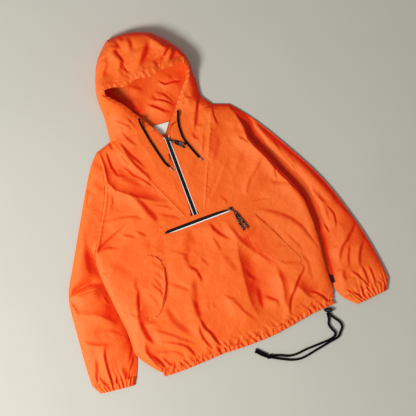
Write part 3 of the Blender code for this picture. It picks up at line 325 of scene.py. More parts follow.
LABEL_WHITE = make_ribbed("label satin", (0.70, 0.71, 0.68), (0.86, 0.87, 0.84), 0.0007, 0.6, "Y")
TAB_BLACK = make_ribbed("tab weave", (0.004, 0.004, 0.004), (0.014, 0.014, 0.015), 0.0008, 0.8, "Y")
THREAD = make_ribbed("sewing thread", (0.82, 0.085, 0.010), (0.95, 0.16, 0.03), 0.0006, 0.5)
for finish in (ZIP_WEB, ZIP_NYLON, TAB_BLACK, MOULDED_BLACK):
    finish.node_tree.nodes["Principled BSDF"].inputs["Specular IOR Level"].default_value = 0.12
print("finishes:", len(bpy.data.materials))

# %% [markdown]
# ## Cords
#
# A drawcord is a fixed length of soft braid, so its line is drawn first: a few points where it
# rests, joined by a smooth curve that passes through all of them. A ring of points is then swept
# along that line. Blender's curve bevel could do the sweep too, but a swept mesh can carry a UV map
# with true lengths, which the braid needs.

# %% Smooth lines through a few points
def smooth_line(points, step):
    """Points every step or so along a smooth curve through the given points, in millimetres."""
    p = np.array(points, float)
    p = np.vstack([2 * p[0] - p[1], p, 2 * p[-1] - p[-2]])
    fine = []
    for k in range(1, len(p) - 2):
        for t in np.linspace(0, 1, 12, endpoint=False):
            bend = 2 * p[k - 1] - 5 * p[k] + 4 * p[k + 1] - p[k + 2]
            twist = 3 * p[k] - p[k - 1] - 3 * p[k + 1] + p[k + 2]
            fine.append(p[k] + ((p[k + 1] - p[k - 1]) * t + bend * t**2 + twist * t**3) / 2)
    fine = np.array(fine + [p[-2]])
    places = np.concatenate([[0], np.cumsum(np.linalg.norm(np.diff(fine, axis=0), axis=1))])
    wanted = np.linspace(0, places[-1], max(2, round(places[-1] / step)) + 1)
    return np.array([np.interp(wanted, places, column) for column in fine.T]).T


def length_of(line):
    return float(np.linalg.norm(np.diff(line, axis=0), axis=1).sum())


def sweep(name, line, radii, sides=14):
    """A closed round tube along a line of millimetre points, with a UV map named along."""
    line = np.array(line, float)
    ahead = np.gradient(line, axis=0)
    ahead /= np.linalg.norm(ahead, axis=1)[:, None]
    side = np.cross(ahead[0], (0.0, 0.0, 1.0))
    if np.linalg.norm(side) < 0.1:
        side = np.cross(ahead[0], (0.0, 1.0, 0.0))
    rings, angles = [], np.linspace(0, 2 * math.pi, sides, endpoint=False)
    for k in range(len(line)):
        side = side - ahead[k] * (side @ ahead[k])
        side /= np.linalg.norm(side)
        up = np.cross(side, ahead[k])
        spokes = np.outer(np.cos(angles), side) + np.outer(np.sin(angles), up)
        rings.append(line[k] + spokes * radii[k])
    places = np.concatenate([[0], np.cumsum(np.linalg.norm(np.diff(line, axis=0), axis=1))]) * MM
    corners = np.vstack(rings)
    faces, marks = [], []
    for k in range(len(line) - 1):
        for j in range(sides):
            n = (j + 1) % sides
            faces.append((k * sides + j, (k + 1) * sides + j, (k + 1) * sides + n, k * sides + n))
            around, past = j / sides, (j + 1) / sides
            marks += [(around, places[k]), (around, places[k + 1]), (past, places[k + 1]), (past, places[k])]
    first, last = tuple(range(sides)), tuple((len(line) - 1) * sides + j for j in range(sides))[::-1]
    faces += [first, last]
    marks += [(0.0, places[0])] * sides + [(0.0, places[-1])] * sides
    mesh = bpy.data.meshes.new(name)
    mesh.from_pydata([at(*c) for c in corners], [], faces)
    layer = mesh.uv_layers.new(name="along")
    layer.data.foreach_set("uv", np.array(marks, np.float32).ravel())
    mesh.shade_smooth()
    item = bpy.data.objects.new(name, mesh)
    bpy.context.scene.collection.objects.link(item)
    return item


def cord_radii(line, diameter, end_caps=True):
    """Radius along a cord: round ends, and a faint unevenness as in soft braid."""
    places = np.concatenate([[0], np.cumsum(np.linalg.norm(np.diff(line, axis=0), axis=1))])
    radius = diameter / 2 * (1 + 0.025 * np.sin(places * 0.9) * np.sin(places * 0.23 + 1))
    if end_caps:
        near = np.minimum(places, places[-1] - places) / (diameter / 2)
        radius = radius * np.sqrt(np.clip(1 - (1 - np.clip(near, 0, 1)) ** 2, 0.06, 1))
    return radius


def lay_cord(name, points, diameter, finish, step=0.9):
    line = smooth_line(points, step)
    item = sweep(name, line, cord_radii(line, diameter))
    item.data.materials.append(finish)
    return item, line


print("a straight 50 mm line has", len(smooth_line([(0, 0, 0), (50, 0, 0)], 0.9)), "points")

# %% [markdown]
# ### Drawcords of the hood and the hem
#
# Each hood cord comes up through its eyelet, turns over and lies down the chest. The hem's cord
# leaves the spring lock beside the hem as two strands, runs along the table and is tied in one
# knot, past which two short ends show.

# %% Where the drawcords lie
HOOD_CORD, HEM_CORD, PULL_CORD = 6.2, 7.0, 5.4
HOOD_CORDS = {
    "left": [(-58, 322, 23.6), (-58.2, 319.5, 27.4), (-58.3, 313, 29.0), (-58, 302, 25.0),
             (-56, 288, 20.8), (-54, 276, 19.3), (-50, 252, 18.9), (-44, 225, 18.9),
             (-38, 198, 18.9), (-31, 172, 18.9), (-22, 155, 18.9)],
    "right": [(59.5, 303.5, 22.2), (59, 301, 26.0), (57, 295, 27.6), (53, 286, 22.6),
              (50, 276, 19.7), (46, 249, 18.9), (47, 219, 18.9), (56, 191, 19.4),
              (67, 161, 20.2), (72, 150, 20.3)],
}
HOOD_TIPS = {
    "left": [(-21.8, 154.6, 18.7), (-17, 141, 18.7)],
    "right": [(72.2, 149.6, 20.0), (76.5, 138.5, 20.0)],
}
HEM_CORDS = {
    "hem_cord_a": [(268.1, -420.3, 5.5), (266.8, -425, 4.8), (266.2, -431, 3.6), (265, -440, 3.6),
                   (259, -456, 3.6), (263, -472, 3.6), (268, -485, 3.6), (262, -495, 3.6),
                   (242, -499.5, 3.6), (205, -501, 3.6), (168, -502, 3.6), (137, -505, 3.6),
                   (113, -502, 3.6), (88, -491, 3.6), (65, -483, 3.7)],
    "hem_cord_b": [(272.8, -422.8, 5.5), (272.6, -426.5, 5.0), (274.5, -432.5, 3.6),
                   (278.5, -439, 3.6), (284, -447, 3.6), (293, -461, 3.6), (294, -476, 3.6),
                   (283, -490, 3.6), (271, -501, 3.6), (238, -507, 3.6), (199, -514, 3.6),
                   (152, -522, 3.6), (122, -518, 3.6), (93, -505, 3.6), (63, -488.6, 3.7)],
    "hem_cord_tail_a": [(55.3, -479, 3.7), (48, -470, 3.6), (41, -463.5, 3.6), (34.5, -456.5, 3.6),
                        (26.2, -447.7, 3.6)],
    "hem_cord_tail_b": [(53.4, -483.2, 3.7), (45, -477, 3.6), (37, -470, 3.6), (30, -462, 3.6),
                        (21.3, -453.8, 3.6)],
}
PULL_CORDS = {
    "neck": {
        "a": [(20.5, 222.2, 19.2), (28, 217, 18.8), (37, 210, 18.7), (47.4, 201.0, 18.7)],
        "b": [(17.5, 218.4, 19.2), (23, 211, 18.8), (31, 203.5, 18.7), (41, 193.3, 18.7)]},
    "pocket": {
        "a": [(118.2, -45.6, 19.4), (121, -58, 20.3), (126, -74, 21.3), (134, -99, 22.6)],
        "b": [(113.6, -47.2, 19.3), (112.5, -56, 20.5), (113, -66, 21.3), (116, -84, 22.5),
              (120, -101, 23.4)]},
}
print("drawcords and strands:", len(HOOD_CORDS) + len(HEM_CORDS) + 4)

# %% [markdown]
# ### Knots
#
# The pulls' knots and the hem's knot are real turns of cord. A trefoil line, the path that a
# tied overhand knot takes, is swept with the cord's own thickness and made as large as the knot.

# %% Knots tied of cord
def tie_knot(name, middle, size, cord, heading, finish):
    turns = np.linspace(0, 2 * math.pi, 73)
    loop = np.array([np.sin(turns) + 2 * np.sin(2 * turns), np.cos(turns) - 2 * np.cos(2 * turns),
                     -np.sin(3 * turns)]).T
    loop /= np.abs(loop).max(0)
    loop *= (np.array(size) - cord) / 2
    c, s = math.cos(heading), math.sin(heading)
    loop = loop @ np.array([[c, s, 0], [-s, c, 0], [0, 0, 1]]) + np.array(middle)
    item = sweep(name, loop, np.full(len(loop), cord / 2), sides=12)
    item.data.materials.append(finish)
    return item


SLIDERS = {  # middle x, y, the base's height, and the way the tab points
    "neck": (0.0, 235.0, 16.5, (0.790, -0.613)),
    "pocket": (104.0, -25.0, 16.5, (0.488, -0.873)),
}
TAB_REACH, KNOT_DROP = 14.8, 1.9  # from the pivot to the knot, and the knot's drop below it
PULL_KNOT, HEM_KNOT_SIZE = (11.0, 10.4, 7.6), (19.0, 15.0, 9.6)
pull_knots = {}
for zip_name, (x, y, base, way) in SLIDERS.items():
    reach = TAB_REACH + PULL_KNOT[0] / 2
    middle = (x + way[0] * reach, y + way[1] * reach, base + 5.2 - KNOT_DROP)
    pull_knots[zip_name] = tie_knot(f"{zip_name}_knot_tied", middle, PULL_KNOT, 4.2,
                                    math.atan2(way[1], way[0]), FLECKED_BRAID)
hem_knot = tie_knot("hem_knot_tied", (59.0, -484.0, 5.0), HEM_KNOT_SIZE, 5.2,
                    math.radians(25), BLACK_BRAID)
print("knots:", [item.name for item in (*pull_knots.values(), hem_knot)])

# %% [markdown]
# ### Cord tips
#
# A hood cord ends in a small crimped tip. It starts as a cylinder, is cut across a few times, and
# the cut rings are drawn in to make two crimps and a rounded nose.

# %% Crimped tips
def crimped_tip(name, start, end, diameter, finish):
    start, end = np.array(start, float), np.array(end, float)
    length = np.linalg.norm(end - start)
    pick_only()
    bpy.ops.mesh.primitive_cylinder_add(vertices=20, radius=diameter / 2 * MM, depth=length * MM)
    item = bpy.context.object
    item.name = item.data.name = name
    bpy.ops.object.mode_set(mode="EDIT")
    for part in (-0.44, -0.36, -0.28, -0.2, -0.1, 0.0, 0.1, 0.2, 0.28, 0.36, 0.46):
        bpy.ops.mesh.select_all(action="SELECT")
        bpy.ops.mesh.bisect(plane_co=(0, 0, part * length * MM), plane_no=(0, 0, 1))
    bpy.ops.object.mode_set(mode="OBJECT")
    narrow = {-0.36: 0.86, -0.28: 0.9, 0.28: 0.88, 0.36: 0.88, 0.46: 0.97, 0.5: 0.72, -0.5: 0.9}
    for corner in item.data.vertices:
        part = corner.co.z / (length * MM)
        nearest = min(narrow, key=lambda p: abs(p - part))
        if abs(nearest - part) < 0.01:
            corner.co.x *= narrow[nearest]
            corner.co.y *= narrow[nearest]
    way = Vector(end - start).normalized()
    item.data.transform(way.to_track_quat("Z", "Y").to_matrix().to_4x4())
    item.data.transform(Matrix.Translation(at(*((start + end) / 2))))
    item.data.shade_smooth()
    item.data.set_sharp_from_angle(angle=math.radians(50))
    item.data.materials.append(finish)
    return item


tips = {side: crimped_tip(f"hood_tip_{side}", *HOOD_TIPS[side], 4.0, TIP_GREY) for side in HOOD_TIPS}
print("tips:", sorted(tips))

# %% [markdown]
# ### Laying the cords
#
# Each cord takes the place of its imported part, which is hidden, and is hung on the body it moves
# with. The lengths printed below are what a tape measure gives along each line.


def declare_cord(name, points, diameter, node_name, body, finish=None):
    item, line = lay_cord(name, points, diameter, finish)
    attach(item, body)
    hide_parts(node_name)
    print(name, round(length_of(line)), "mm")
    return item, line


for side, tip in tips.items():
    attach(tip, "garment")
    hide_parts(f"hood_cord_tip_{side}")
for zip_name, knot in pull_knots.items():
    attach(knot, f"{zip_name}_zip_pull")
    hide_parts(f"{zip_name}_pull_knot")
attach(hem_knot, "garment")
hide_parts("hem_cord_knot")

cord_lines = []
for side, points in HOOD_CORDS.items():
    _, line = declare_cord(f"hood_drawcord_{side}", points, HOOD_CORD, f"hood_cord_{side}", "garment",
                           BLACK_BRAID)
    cord_lines += [line, np.array(HOOD_TIPS[side])]
for name, points in HEM_CORDS.items():
    declare_cord(name.replace("hem_cord", "hem_drawcord"), points, HEM_CORD, name, "garment",
                 BLACK_BRAID)
for zip_name, strands in PULL_CORDS.items():
    for end, points in strands.items():
        _, line = declare_cord(f"{zip_name}_strand_{end}", points, PULL_CORD,
                               f"{zip_name}_pull_cord_{end}", f"{zip_name}_zip_pull",
                               FLECKED_BRAID)
        cord_lines.append(line)

# %% [markdown]
# ## How the cloth creases
#
# A crease in thin cloth is a ridge with a valley beside it. Each one below is a line of pattern
# points with a half width and a height. Seen in side light, the line itself is where the cloth
# falls away from the light. Short fans of gathers run off every drawn or elastic edge, and small
# puckers cross each seam. All of it is one height over the table, so that two pieces which meet
# at a seam still meet after the creases are pressed in.

# %% Crease lines: half width, drop, which side is sharp, points
CREASES = [
    # left shoulder and chest
    (12.2, 12.2, "crest", (-202, 281), (-197, 251), (-195, 224), (-197, 199), (-199, 178), (-189, 154),
     (-159, 130), (-121, 103), (-83, 76), (-54, 52)),
    (10.8, 7.9, "soft", (-165, 133), (-146, 97), (-132, 66), (-123, 40), (-111, 3)),
    (5.4, 5.6, "soft", (-140, 283), (-127, 250), (-113, 219), (-100, 195), (-91, 175)),
    (5.4, 4.5, "soft", (-124, 309), (-112, 282), (-100, 262), (-89, 248)),
    (4.1, 2.4, "soft", (-149, 242), (-143, 224), (-133, 201)),
    (5.4, 4.5, "soft", (-164, 212), (-143, 191), (-132, 168), (-114, 149), (-96, 129), (-80, 104)),
    (4.7, 3.3, "soft", (-109, 179), (-94, 160), (-86, 138)),
    (5.4, 2.4, "soft", (-193, 204), (-174, 184), (-155, 177)),
    (14.9, 5.2, "soft", (-177, 211), (-153, 163), (-115, 120)),
    (6.8, 5.6, "valley", (-275, 71), (-243, 62), (-217, 62), (-193, 57), (-168, 47), (-143, 28)),
    (5.4, 3, "soft", (-209, 152), (-220, 115), (-239, 90)),
    (5.4, 3.9, "soft", (-169, 291), (-165, 261)),
    (4.1, 2.8, "soft", (-109, 67), (-80, 52), (-54, 36)),
    (5.4, 4.5, "valley", (-106, 33), (-74, 15), (-44, -6)),
    (4.1, 3.9, "soft", (-135, 349), (-116, 332), (-96, 315), (-88, 296)),
    (4.1, 2.6, "soft", (-130, 328), (-109, 307)),
    (4.1, 3.5, "soft", (-91, 339), (-80, 315), (-71, 296)),
    (4.1, 4.5, "soft", (-143, 387), (-136, 355)),
    # middle of the chest
    (9.5, 3.1, "soft", (150, 203), (139, 166), (121, 143), (99, 120)),
    (4.1, 3, "soft", (112, 221), (100, 190), (89, 168), (75, 148)),
    (5.4, 4.2, "soft", (77, 231), (79, 211), (94, 199)),
    (4.1, 2.6, "soft", (97, 242), (121, 237)),
    (9.5, 2.4, "soft", (212, 129), (182, 101), (153, 74)),
    (6.8, 3.9, "soft", (251, 88), (222, 61), (199, 44), (176, 17), (163, -10)),
    (5.4, -2.4, "soft", (157, 136), (95, 64), (36, 2)),
    (4.1, 2.8, "soft", (86, 25), (101, 4), (102, -19)),
    (12.2, 2.4, "soft", (15, 100), (42, 128), (72, 149)),
    (4.1, 4.2, "soft", (199, 172), (215, 153), (227, 136)),
    (10.8, 4.5, "soft", (231, 230), (212, 206), (193, 190)),
    (4.1, 4.9, "valley", (162, 279), (154, 256), (156, 236), (159, 219)),
    # wide soft folds over the hood's crown
    (9, 9, "soft", (54, 534), (39, 514), (25, 494), (5, 473)),
    (8, 10, "soft", (79, 534), (84, 513), (91, 488)),
    (7, 8, "soft", (107, 498), (91, 482), (72, 463)),
    (7, 9, "soft", (122, 477), (103, 461), (80, 444)),
    (8, 9, "soft", (-90, 518), (-108, 505), (-125, 486)),
    (6, 6, "soft", (-3, 562), (-3, 537), (-15, 515)),
    (6, 7, "soft", (-65, 483), (-56, 457), (-36, 440)),
    (5, 5, "soft", (39, 469), (49, 453), (52, 436)),
    # the crease at the left elbow, and folds over the left shoulder
    (4.5, 8, "crest", (-444, -106), (-418, -96), (-387, -92), (-342, -92)),
    (5, 6, "soft", (-183, 271), (-186, 246), (-186, 214), (-174, 177)),
    (4, 4, "soft", (-139, 286), (-129, 244), (-115, 197), (-96, 161)),
    (4, 3.5, "soft", (-282, 196), (-278, 172), (-260, 152)),
    # the deep fall from the right shoulder into the armhole, and the gap beside the sleeve
    (19, 28, "crest", (239, 253), (241, 207), (241, 156), (263, 112), (278, 75), (293, 37), (308, 0),
     (328, -40), (340, -77), (338, -124), (338, -175)),
    (17, 25, "crest", (333, -52), (339, -86), (341, -125), (338, -175), (337, -213), (329, -258),
     (327, -299), (324, -340), (321, -374)),
    (8.1, 6.3, "valley", (241, 18), (255, -3), (278, -11), (297, -28), (315, -58)),
    (4.1, 4.2, "soft", (272, 58), (268, 31), (265, 6)),
    (5.4, 4.5, "soft", (322, 39), (328, 11), (328, -14)),
    (6.8, 6.6, "valley", (158, -50), (191, -62), (217, -79), (242, -97), (263, -118), (281, -147),
     (292, -177), (301, -206), (311, -239)),
    (3.5, 2.4, "soft", (165, -65), (180, -93), (194, -115)),
    (4.1, 2.1, "soft", (163, -26), (191, -30), (235, -40)),
    (5.4, 2.8, "soft", (294, 133), (302, 104), (309, 79)),
    # right sleeve
    (6.8, 7, "crest", (351, -39), (367, -74), (376, -100), (385, -119)),
    (4.1, 5.2, "soft", (371, -114), (384, -129), (390, -147), (387, -171), (378, -197)),
    (4.1, 2.8, "soft", (378, -129), (370, -142), (353, -152)),
    (4.1, 4.2, "soft", (334, -126), (352, -129), (365, -121)),
    (4.1, 6.3, "soft", (344, -152), (354, -175), (358, -199)),
    (6.8, 7.4, "soft", (445, -190), (423, -214), (403, -232), (381, -249), (367, -269), (352, -299)),
    (5.4, 4.5, "soft", (404, -248), (387, -283), (374, -317)),
    (6.1, 6.3, "soft", (447, -251), (427, -279), (415, -303), (404, -331)),
    (4.1, 7.4, "soft", (375, -324), (392, -346), (401, -366), (412, -389)),
    (4.1, 8, "soft", (412, -319), (415, -345), (415, -371), (411, -398)),
    (4.1, 6.6, "soft", (432, -326), (434, -355), (434, -381), (428, -405)),
    (6.8, 4.5, "soft", (363, -313), (352, -334), (357, -355)),
    (4.1, 2.8, "soft", (357, -346), (385, -350)),
    (5.4, 6.3, "soft", (333, -369), (357, -388), (371, -402), (384, -420)),
    (4.1, 4.5, "soft", (386, -373), (389, -396), (385, -417)),
    (4.1, 1.9, "soft", (347, -236), (371, -249)),
    (5.4, 2.8, "soft", (417, -135), (436, -161), (444, -192)),
    # left sleeve
    (16.2, 5.2, "soft", (-254, 201), (-241, 177), (-231, 145)),
    (12.2, 4.2, "soft", (-239, 260), (-223, 234), (-207, 209)),
    (4.1, 4.2, "soft", (-277, 184), (-286, 152), (-301, 129)),
    (10.8, 3.1, "soft", (-320, 111), (-336, 53), (-349, -7), (-363, -72)),
    (6.8, 10.5, "crest", (-445, -108), (-422, -101), (-405, -98), (-380, -98), (-357, -97), (-329, -100)),
    (4.1, 3.9, "soft", (-433, -113), (-411, -112), (-385, -112), (-353, -111)),
    (5.4, 5.2, "soft", (-444, -115), (-437, -140), (-434, -173)),
    (9.5, 6, "crest", (-443, -147), (-411, -163), (-385, -172), (-365, -186), (-350, -205), (-328, -232)),
    (3.5, 2.1, "soft", (-326, -66), (-311, -85)),
    (4.1, 3, "soft", (-343, -137), (-335, -166)),
    (6.8, 3.9, "valley", (-401, -231), (-363, -242), (-334, -265)),
    (6.8, 7, "crest", (-458, -238), (-427, -256), (-402, -269), (-373, -276)),
    (5.4, 8.8, "soft", (-388, -274), (-404, -307), (-408, -334), (-410, -365), (-412, -396), (-420, -419)),
    (6.8, 5.6, "soft", (-429, -297), (-441, -337), (-452, -359), (-456, -386)),
    (4.1, 4.9, "soft", (-445, -355), (-435, -381), (-428, -406)),
    (4.1, 3.5, "soft", (-384, -356), (-403, -406)),
    (4.1, 3.9, "soft", (-312, -200), (-315, -241), (-314, -273), (-316, -304), (-331, -334), (-355, -363)),
    (4.1, 4.9, "soft", (-321, -334), (-337, -360), (-358, -381)),
    (5.4, 7.4, "soft", (-307, -330), (-323, -366), (-346, -399)),
    (9.5, 3.9, "soft", (-369, -351), (-367, -378), (-353, -402)),
    (18.9, 4.5, "soft", (-296, -46), (-271, -81), (-243, -127)),
    # left side of the body and the hand pocket
    (5.4, 6.3, "soft", (-335, -21), (-311, -1), (-288, 9), (-265, 20), (-243, 27), (-225, 33), (-199, 43)),
    (4.7, 4.5, "valley", (-308, -9), (-282, -9), (-253, -17)),
    (5.4, 4.2, "soft", (-228, 15), (-207, 4), (-188, -13)),
    (5.4, 3.9, "soft", (-185, 12), (-171, -3), (-158, -21)),
    (8.1, 3.9, "soft", (-175, -21), (-165, -47), (-166, -75)),
    (5.4, 4.2, "soft", (-121, 1), (-130, -38), (-137, -67), (-145, -96)),
    (4.1, 6.3, "crest", (-176, -68), (-153, -83), (-143, -100), (-142, -129), (-151, -164), (-168, -200),
     (-189, -230), (-209, -248)),
    (3.8, 3.3, "soft", (-174, -88), (-160, -110), (-148, -130)),
    (3.8, 3.3, "soft", (-183, -111), (-168, -132), (-159, -158)),
    (3.8, 3.5, "soft", (-187, -131), (-178, -157), (-171, -182)),
    (3.8, 3.9, "soft", (-202, -145), (-188, -167), (-178, -183), (-178, -209)),
    (3.8, 2.6, "soft", (-218, -171), (-206, -198), (-200, -226)),
    (4.7, 9.6, "valley", (-237, -145), (-252, -184), (-261, -213), (-268, -236), (-273, -256)),
    (8.1, 4.5, "soft", (-234, -101), (-239, -131), (-246, -161)),
    (5.4, 4.2, "soft", (-289, -215), (-267, -233)),
    (4.1, 3.1, "soft", (-266, -256), (-243, -261), (-216, -268)),
    (9.5, 11.4, "soft", (-266, -230), (-266, -265), (-263, -299), (-250, -332)),
    (8.1, 9.6, "crest", (-272, -305), (-276, -342), (-269, -367), (-257, -394), (-244, -418)),
    (5.4, 8, "soft", (-272, -356), (-256, -381), (-242, -412)),
    (5.4, 4.9, "valley", (-246, -279), (-217, -303), (-194, -321), (-171, -343), (-146, -362),
     (-118, -382)),
    (5.4, 7.7, "soft", (-236, -328), (-202, -341), (-178, -353), (-161, -369), (-153, -391), (-149, -422)),
    (4.7, 5.6, "soft", (-267, -352), (-231, -359), (-206, -368), (-188, -381), (-176, -408)),
    (4.7, 6.6, "soft", (-248, -368), (-234, -393), (-218, -418)),
    (12.2, 6.3, "soft", (-173, -214), (-180, -249), (-175, -277), (-158, -309), (-131, -348)),
    (5.4, 4.2, "soft", (-104, -80), (-89, -92), (-75, -106)),
    # middle of the body
    (8.1, 7, "soft", (-35, -35), (-56, -81), (-73, -117), (-71, -146)),
    (5.4, 6.6, "valley", (-79, -134), (-72, -149), (-58, -164), (-54, -185), (-55, -213)),
    (6.8, 5.2, "valley", (-154, -170), (-121, -195), (-92, -219)),
    (13.5, 7, "soft", (-62, -172), (-82, -210), (-92, -244), (-99, -280)),
    (10.8, 8.8, "soft", (-89, -245), (-97, -274), (-98, -303)),
    (6.1, 11.2, "soft", (-100, -292), (-91, -335), (-80, -358), (-73, -383), (-66, -414)),
    (5.4, 8, "soft", (-104, -310), (-109, -340), (-108, -363), (-100, -385), (-91, -411)),
    (5.4, 3.9, "soft", (-33, -36), (-35, -67), (-38, -101)),
    (4.7, 2.8, "soft", (-34, -125), (-24, -148), (-17, -164)),
    (6.8, 6.6, "soft", (29, -33), (36, -65), (48, -85), (62, -100), (81, -117)),
    (5.4, 3.9, "soft", (23, -83), (29, -110), (35, -138)),
    (10.8, 3.9, "soft", (30, -143), (49, -176), (58, -211)),
    (4.1, 2.4, "soft", (-11, -252), (9, -276), (30, -287)),
    (4.1, 2.6, "soft", (-49, -267), (-40, -293)),
    (3.5, 2.6, "soft", (-53, -252), (-64, -290)),
    (5.4, 3.9, "soft", (7, -278), (25, -301), (35, -324), (48, -348), (65, -374)),
    # right side of the body
    (12.2, 8.8, "crest", (84, -57), (97, -91), (108, -121), (122, -145), (135, -169), (146, -199)),
    (20.2, 14, "crest", (95, -97), (100, -143), (96, -187), (89, -232), (84, -279), (80, -325), (80, -367)),
    (5.4, 5.2, "soft", (136, -167), (144, -189), (152, -201), (166, -223)),
    (5.4, 4.2, "soft", (83, -214), (88, -235), (104, -251)),
    (9.5, 5.6, "soft", (100, -272), (93, -307), (89, -344)),
    (5.4, 6.6, "valley", (106, -306), (125, -323), (137, -334), (138, -357)),
    (9.5, 9.8, "crest", (177, -227), (179, -256), (181, -286), (176, -316), (168, -345), (162, -378)),
    (4.1, 7.7, "soft", (235, -245), (248, -260), (246, -275), (228, -288), (212, -304), (201, -319),
     (185, -335), (171, -356), (162, -378), (163, -411)),
    (4.1, 2.8, "soft", (225, -136), (242, -165), (252, -191), (266, -222)),
    (4.1, 2.1, "soft", (192, -111), (210, -149), (220, -173)),
    (4.1, 2.3, "soft", (197, -183), (230, -189)),
    (4.7, 3.1, "soft", (252, -217), (260, -239), (265, -260), (261, -287), (261, -319)),
    (4.1, 3.9, "valley", (183, -220), (199, -238), (220, -243), (242, -242)),
    (12.2, 10.5, "crest", (211, -300), (229, -320), (241, -347), (264, -372)),
    (4.1, 8, "soft", (238, -339), (258, -353), (271, -371), (283, -398)),
    # hood outside
    (6.8, 14.1, "valley", (-54, 572), (-44, 555), (-44, 539), (-58, 535), (-53, 517), (-47, 498),
     (-54, 479), (-44, 462), (-26, 442)),
    (9.5, 9.0, "soft", (-81, 534), (-91, 499), (-118, 471)),
    (9.5, 7.8, "soft", (57, 527), (32, 494), (9, 474), (-9, 452)),
    (6.8, 9.6, "soft", (35, 570), (59, 548), (75, 514)),
    (4.1, 6.2, "soft", (110, 488), (78, 471), (44, 467)),
    (9.5, 6.7, "soft", (118, 494), (106, 470), (92, 449)),
    (4.1, 4.5, "soft", (66, 430), (89, 431), (105, 441)),
    (4.1, 9.6, "valley", (138, 333), (120, 301), (103, 266), (83, 229)),
    (4.1, 7.2, "soft", (-26, 571), (-24, 551)),
    (4.1, 4.5, "soft", (0, 554), (-4, 508)),
    (5.4, 5.6, "soft", (91, 335), (111, 330)),
]
HOOD_INNER_CREASES = [
    (9.5, 16.1, "soft", (-46, 424), (-17, 407), (-2, 386), (13, 357)),
    (4.1, 9.5, "soft", (6, 366), (34, 346), (62, 319)),
    (5.4, 11.2, "soft", (15, 389), (36, 368), (50, 347), (63, 313)),
    (4.1, 8.8, "soft", (51, 365), (74, 341)),
    (6.8, 10.7, "soft", (-30, 364), (0, 340), (23, 318), (53, 304)),
    (4.7, 13.1, "soft", (33, 420), (43, 404), (52, 394), (77, 391), (111, 388)),
    (4.1, 12.6, "soft", (98, 431), (110, 420), (123, 403)),
    (6.8, 6.6, "soft", (67, 427), (78, 403)),
    (8, 8, "soft", (-75, 397), (-64, 367), (-49, 339)),
    (7, 7, "soft", (14, 421), (22, 392), (24, 363)),
    (6, 6, "soft", (-27, 398), (-5, 370), (20, 351)),
]
print("creases:", len(CREASES) + len(HOOD_INNER_CREASES))

# %% Seam lines
POCKET_LINE = [(-185, -67), (-172, -69), (-152, -85), (-143, -106), (-144, -135), (-154, -172),
               (-172, -210), (-197, -242), (-222, -254), (-247, -256), (-262, -250), (-268, -240)]
SEAMS = {
    "bib_left": [(-33, -6), (-66, 68), (-99, 141), (-132, 214), (-165, 288)],
    "bib_right": [(33, -6), (66, 68), (99, 141), (132, 214), (165, 288)],
    "armhole_left": [(-211, 275), (-212, 217), (-227, 160), (-240, 130), (-259, 95), (-280, 62),
                     (-328, -19)],
    "armhole_right": [(211, 271), (224, 217), (229, 160), (241, 125), (264, 80), (284, 31),
                      (301, -4), (314, -33)],
    "hem": [(-263, -412), (-210, -414), (-155, -413), (-64, -409), (15, -413), (96, -411),
            (164, -401), (215, -392), (256, -388), (297, -387)],
    "cuff_left": [(-473, -378), (-336, -398)],
    "cuff_right": [(475, -388), (328, -396)],
    "pocket_left": POCKET_LINE,
    "pocket_right": [(-16 - x, y) for x, y in POCKET_LINE],
}
HOOD_EDGE = {  # the face opening's edge, from the neck to the crown
    "left": [(-25, 277), (-38, 298), (-50, 320), (-67, 346), (-84, 374), (-106, 398), (-127, 419),
             (-124, 436), (-96, 437), (-64, 437), (-31, 438), (0, 438)],
    "right": [(25, 277), (51, 302), (61, 319), (76, 340), (98, 364), (122, 388), (130, 411),
              (129, 432), (114, 437), (92, 438), (66, 439), (34, 439), (0, 438)],
}
# the shadow in this gap is partly real, from the lowered sleeve and raised body, and partly painted into the
# cloth's colour
SLEEVE_GAP = [  # the deep, dark gap between the body and the right sleeve
    (243, 245), (238, 173), (253, 110), (277, 56), (300, 6), (322, -47), (334, -110), (334,
    -186), (326, -257), (317, -334),
]
HARDWARE_LINES = [
    [(0, -6), (0, 276)], [(-105, -26), (105, -26)],
    *[[tuple(p[:2]) for p in line[::6]] + [tuple(line[-1][:2])] for line in cord_lines],
]
print("seams:", sorted(SEAMS))

# %% [markdown]
# ### One height for all the cloth
#
# For every point of the cloth, the nearest place on each line gives two numbers: how far along the
# line it is and how far to its side. A crease falls from a crest on the light's side to a valley on
# the other, and fades out at its ends. A gather is a wave along the line that fades with distance
# from it. Near zips and cords the cloth is kept quiet, so that they still rest on it.

# %% Heights from lines
LIGHT_COMES_FROM = np.array([-0.99, -0.16])
SPREAD = 2.8  # how far the slow rise beside a crease reaches, in half widths


def ease(value):
    value = np.clip(value, 0.0, 1.0)
    return value * value * (3 - 2 * value)


def beside(points, line):
    """For each point: distance to its side of the line, distance from it, and place along it."""
    line = np.array(line, float)
    chord = line[-1] - line[0]
    hand = 1.0 if (np.array([chord[1], -chord[0]]) @ -LIGHT_COMES_FROM) > 0 else -1.0
    steps = np.diff(line, axis=0)
    runs = np.linalg.norm(steps, axis=1)
    starts = np.concatenate([[0], np.cumsum(runs)[:-1]])
    best = np.full(len(points), 1e9)
    side, place = np.zeros(len(points)), np.zeros(len(points))
    for start, step, run, before in zip(line[:-1], steps, runs, starts):
        away = points - start
        part = np.clip(away @ step / run**2, 0, 1)
        off = away - part[:, None] * step
        far = np.linalg.norm(off, axis=1)
        nearer = far < best
        best[nearer] = far[nearer]
        normal = np.array([step[1], -step[0]]) / run * hand
        side[nearer] = (off @ normal)[nearer]
        place[nearer] = (before + part * run)[nearer]
    return side, best, place, runs.sum()


def near_line(points, line, reach):
    line = np.array(line, float)
    low, high = line.min(0) - reach, line.max(0) + reach
    return np.flatnonzero(((points > low) & (points < high)).all(1))


STEPS = np.linspace(-12, 12, 1201)  # across a crease, in half widths


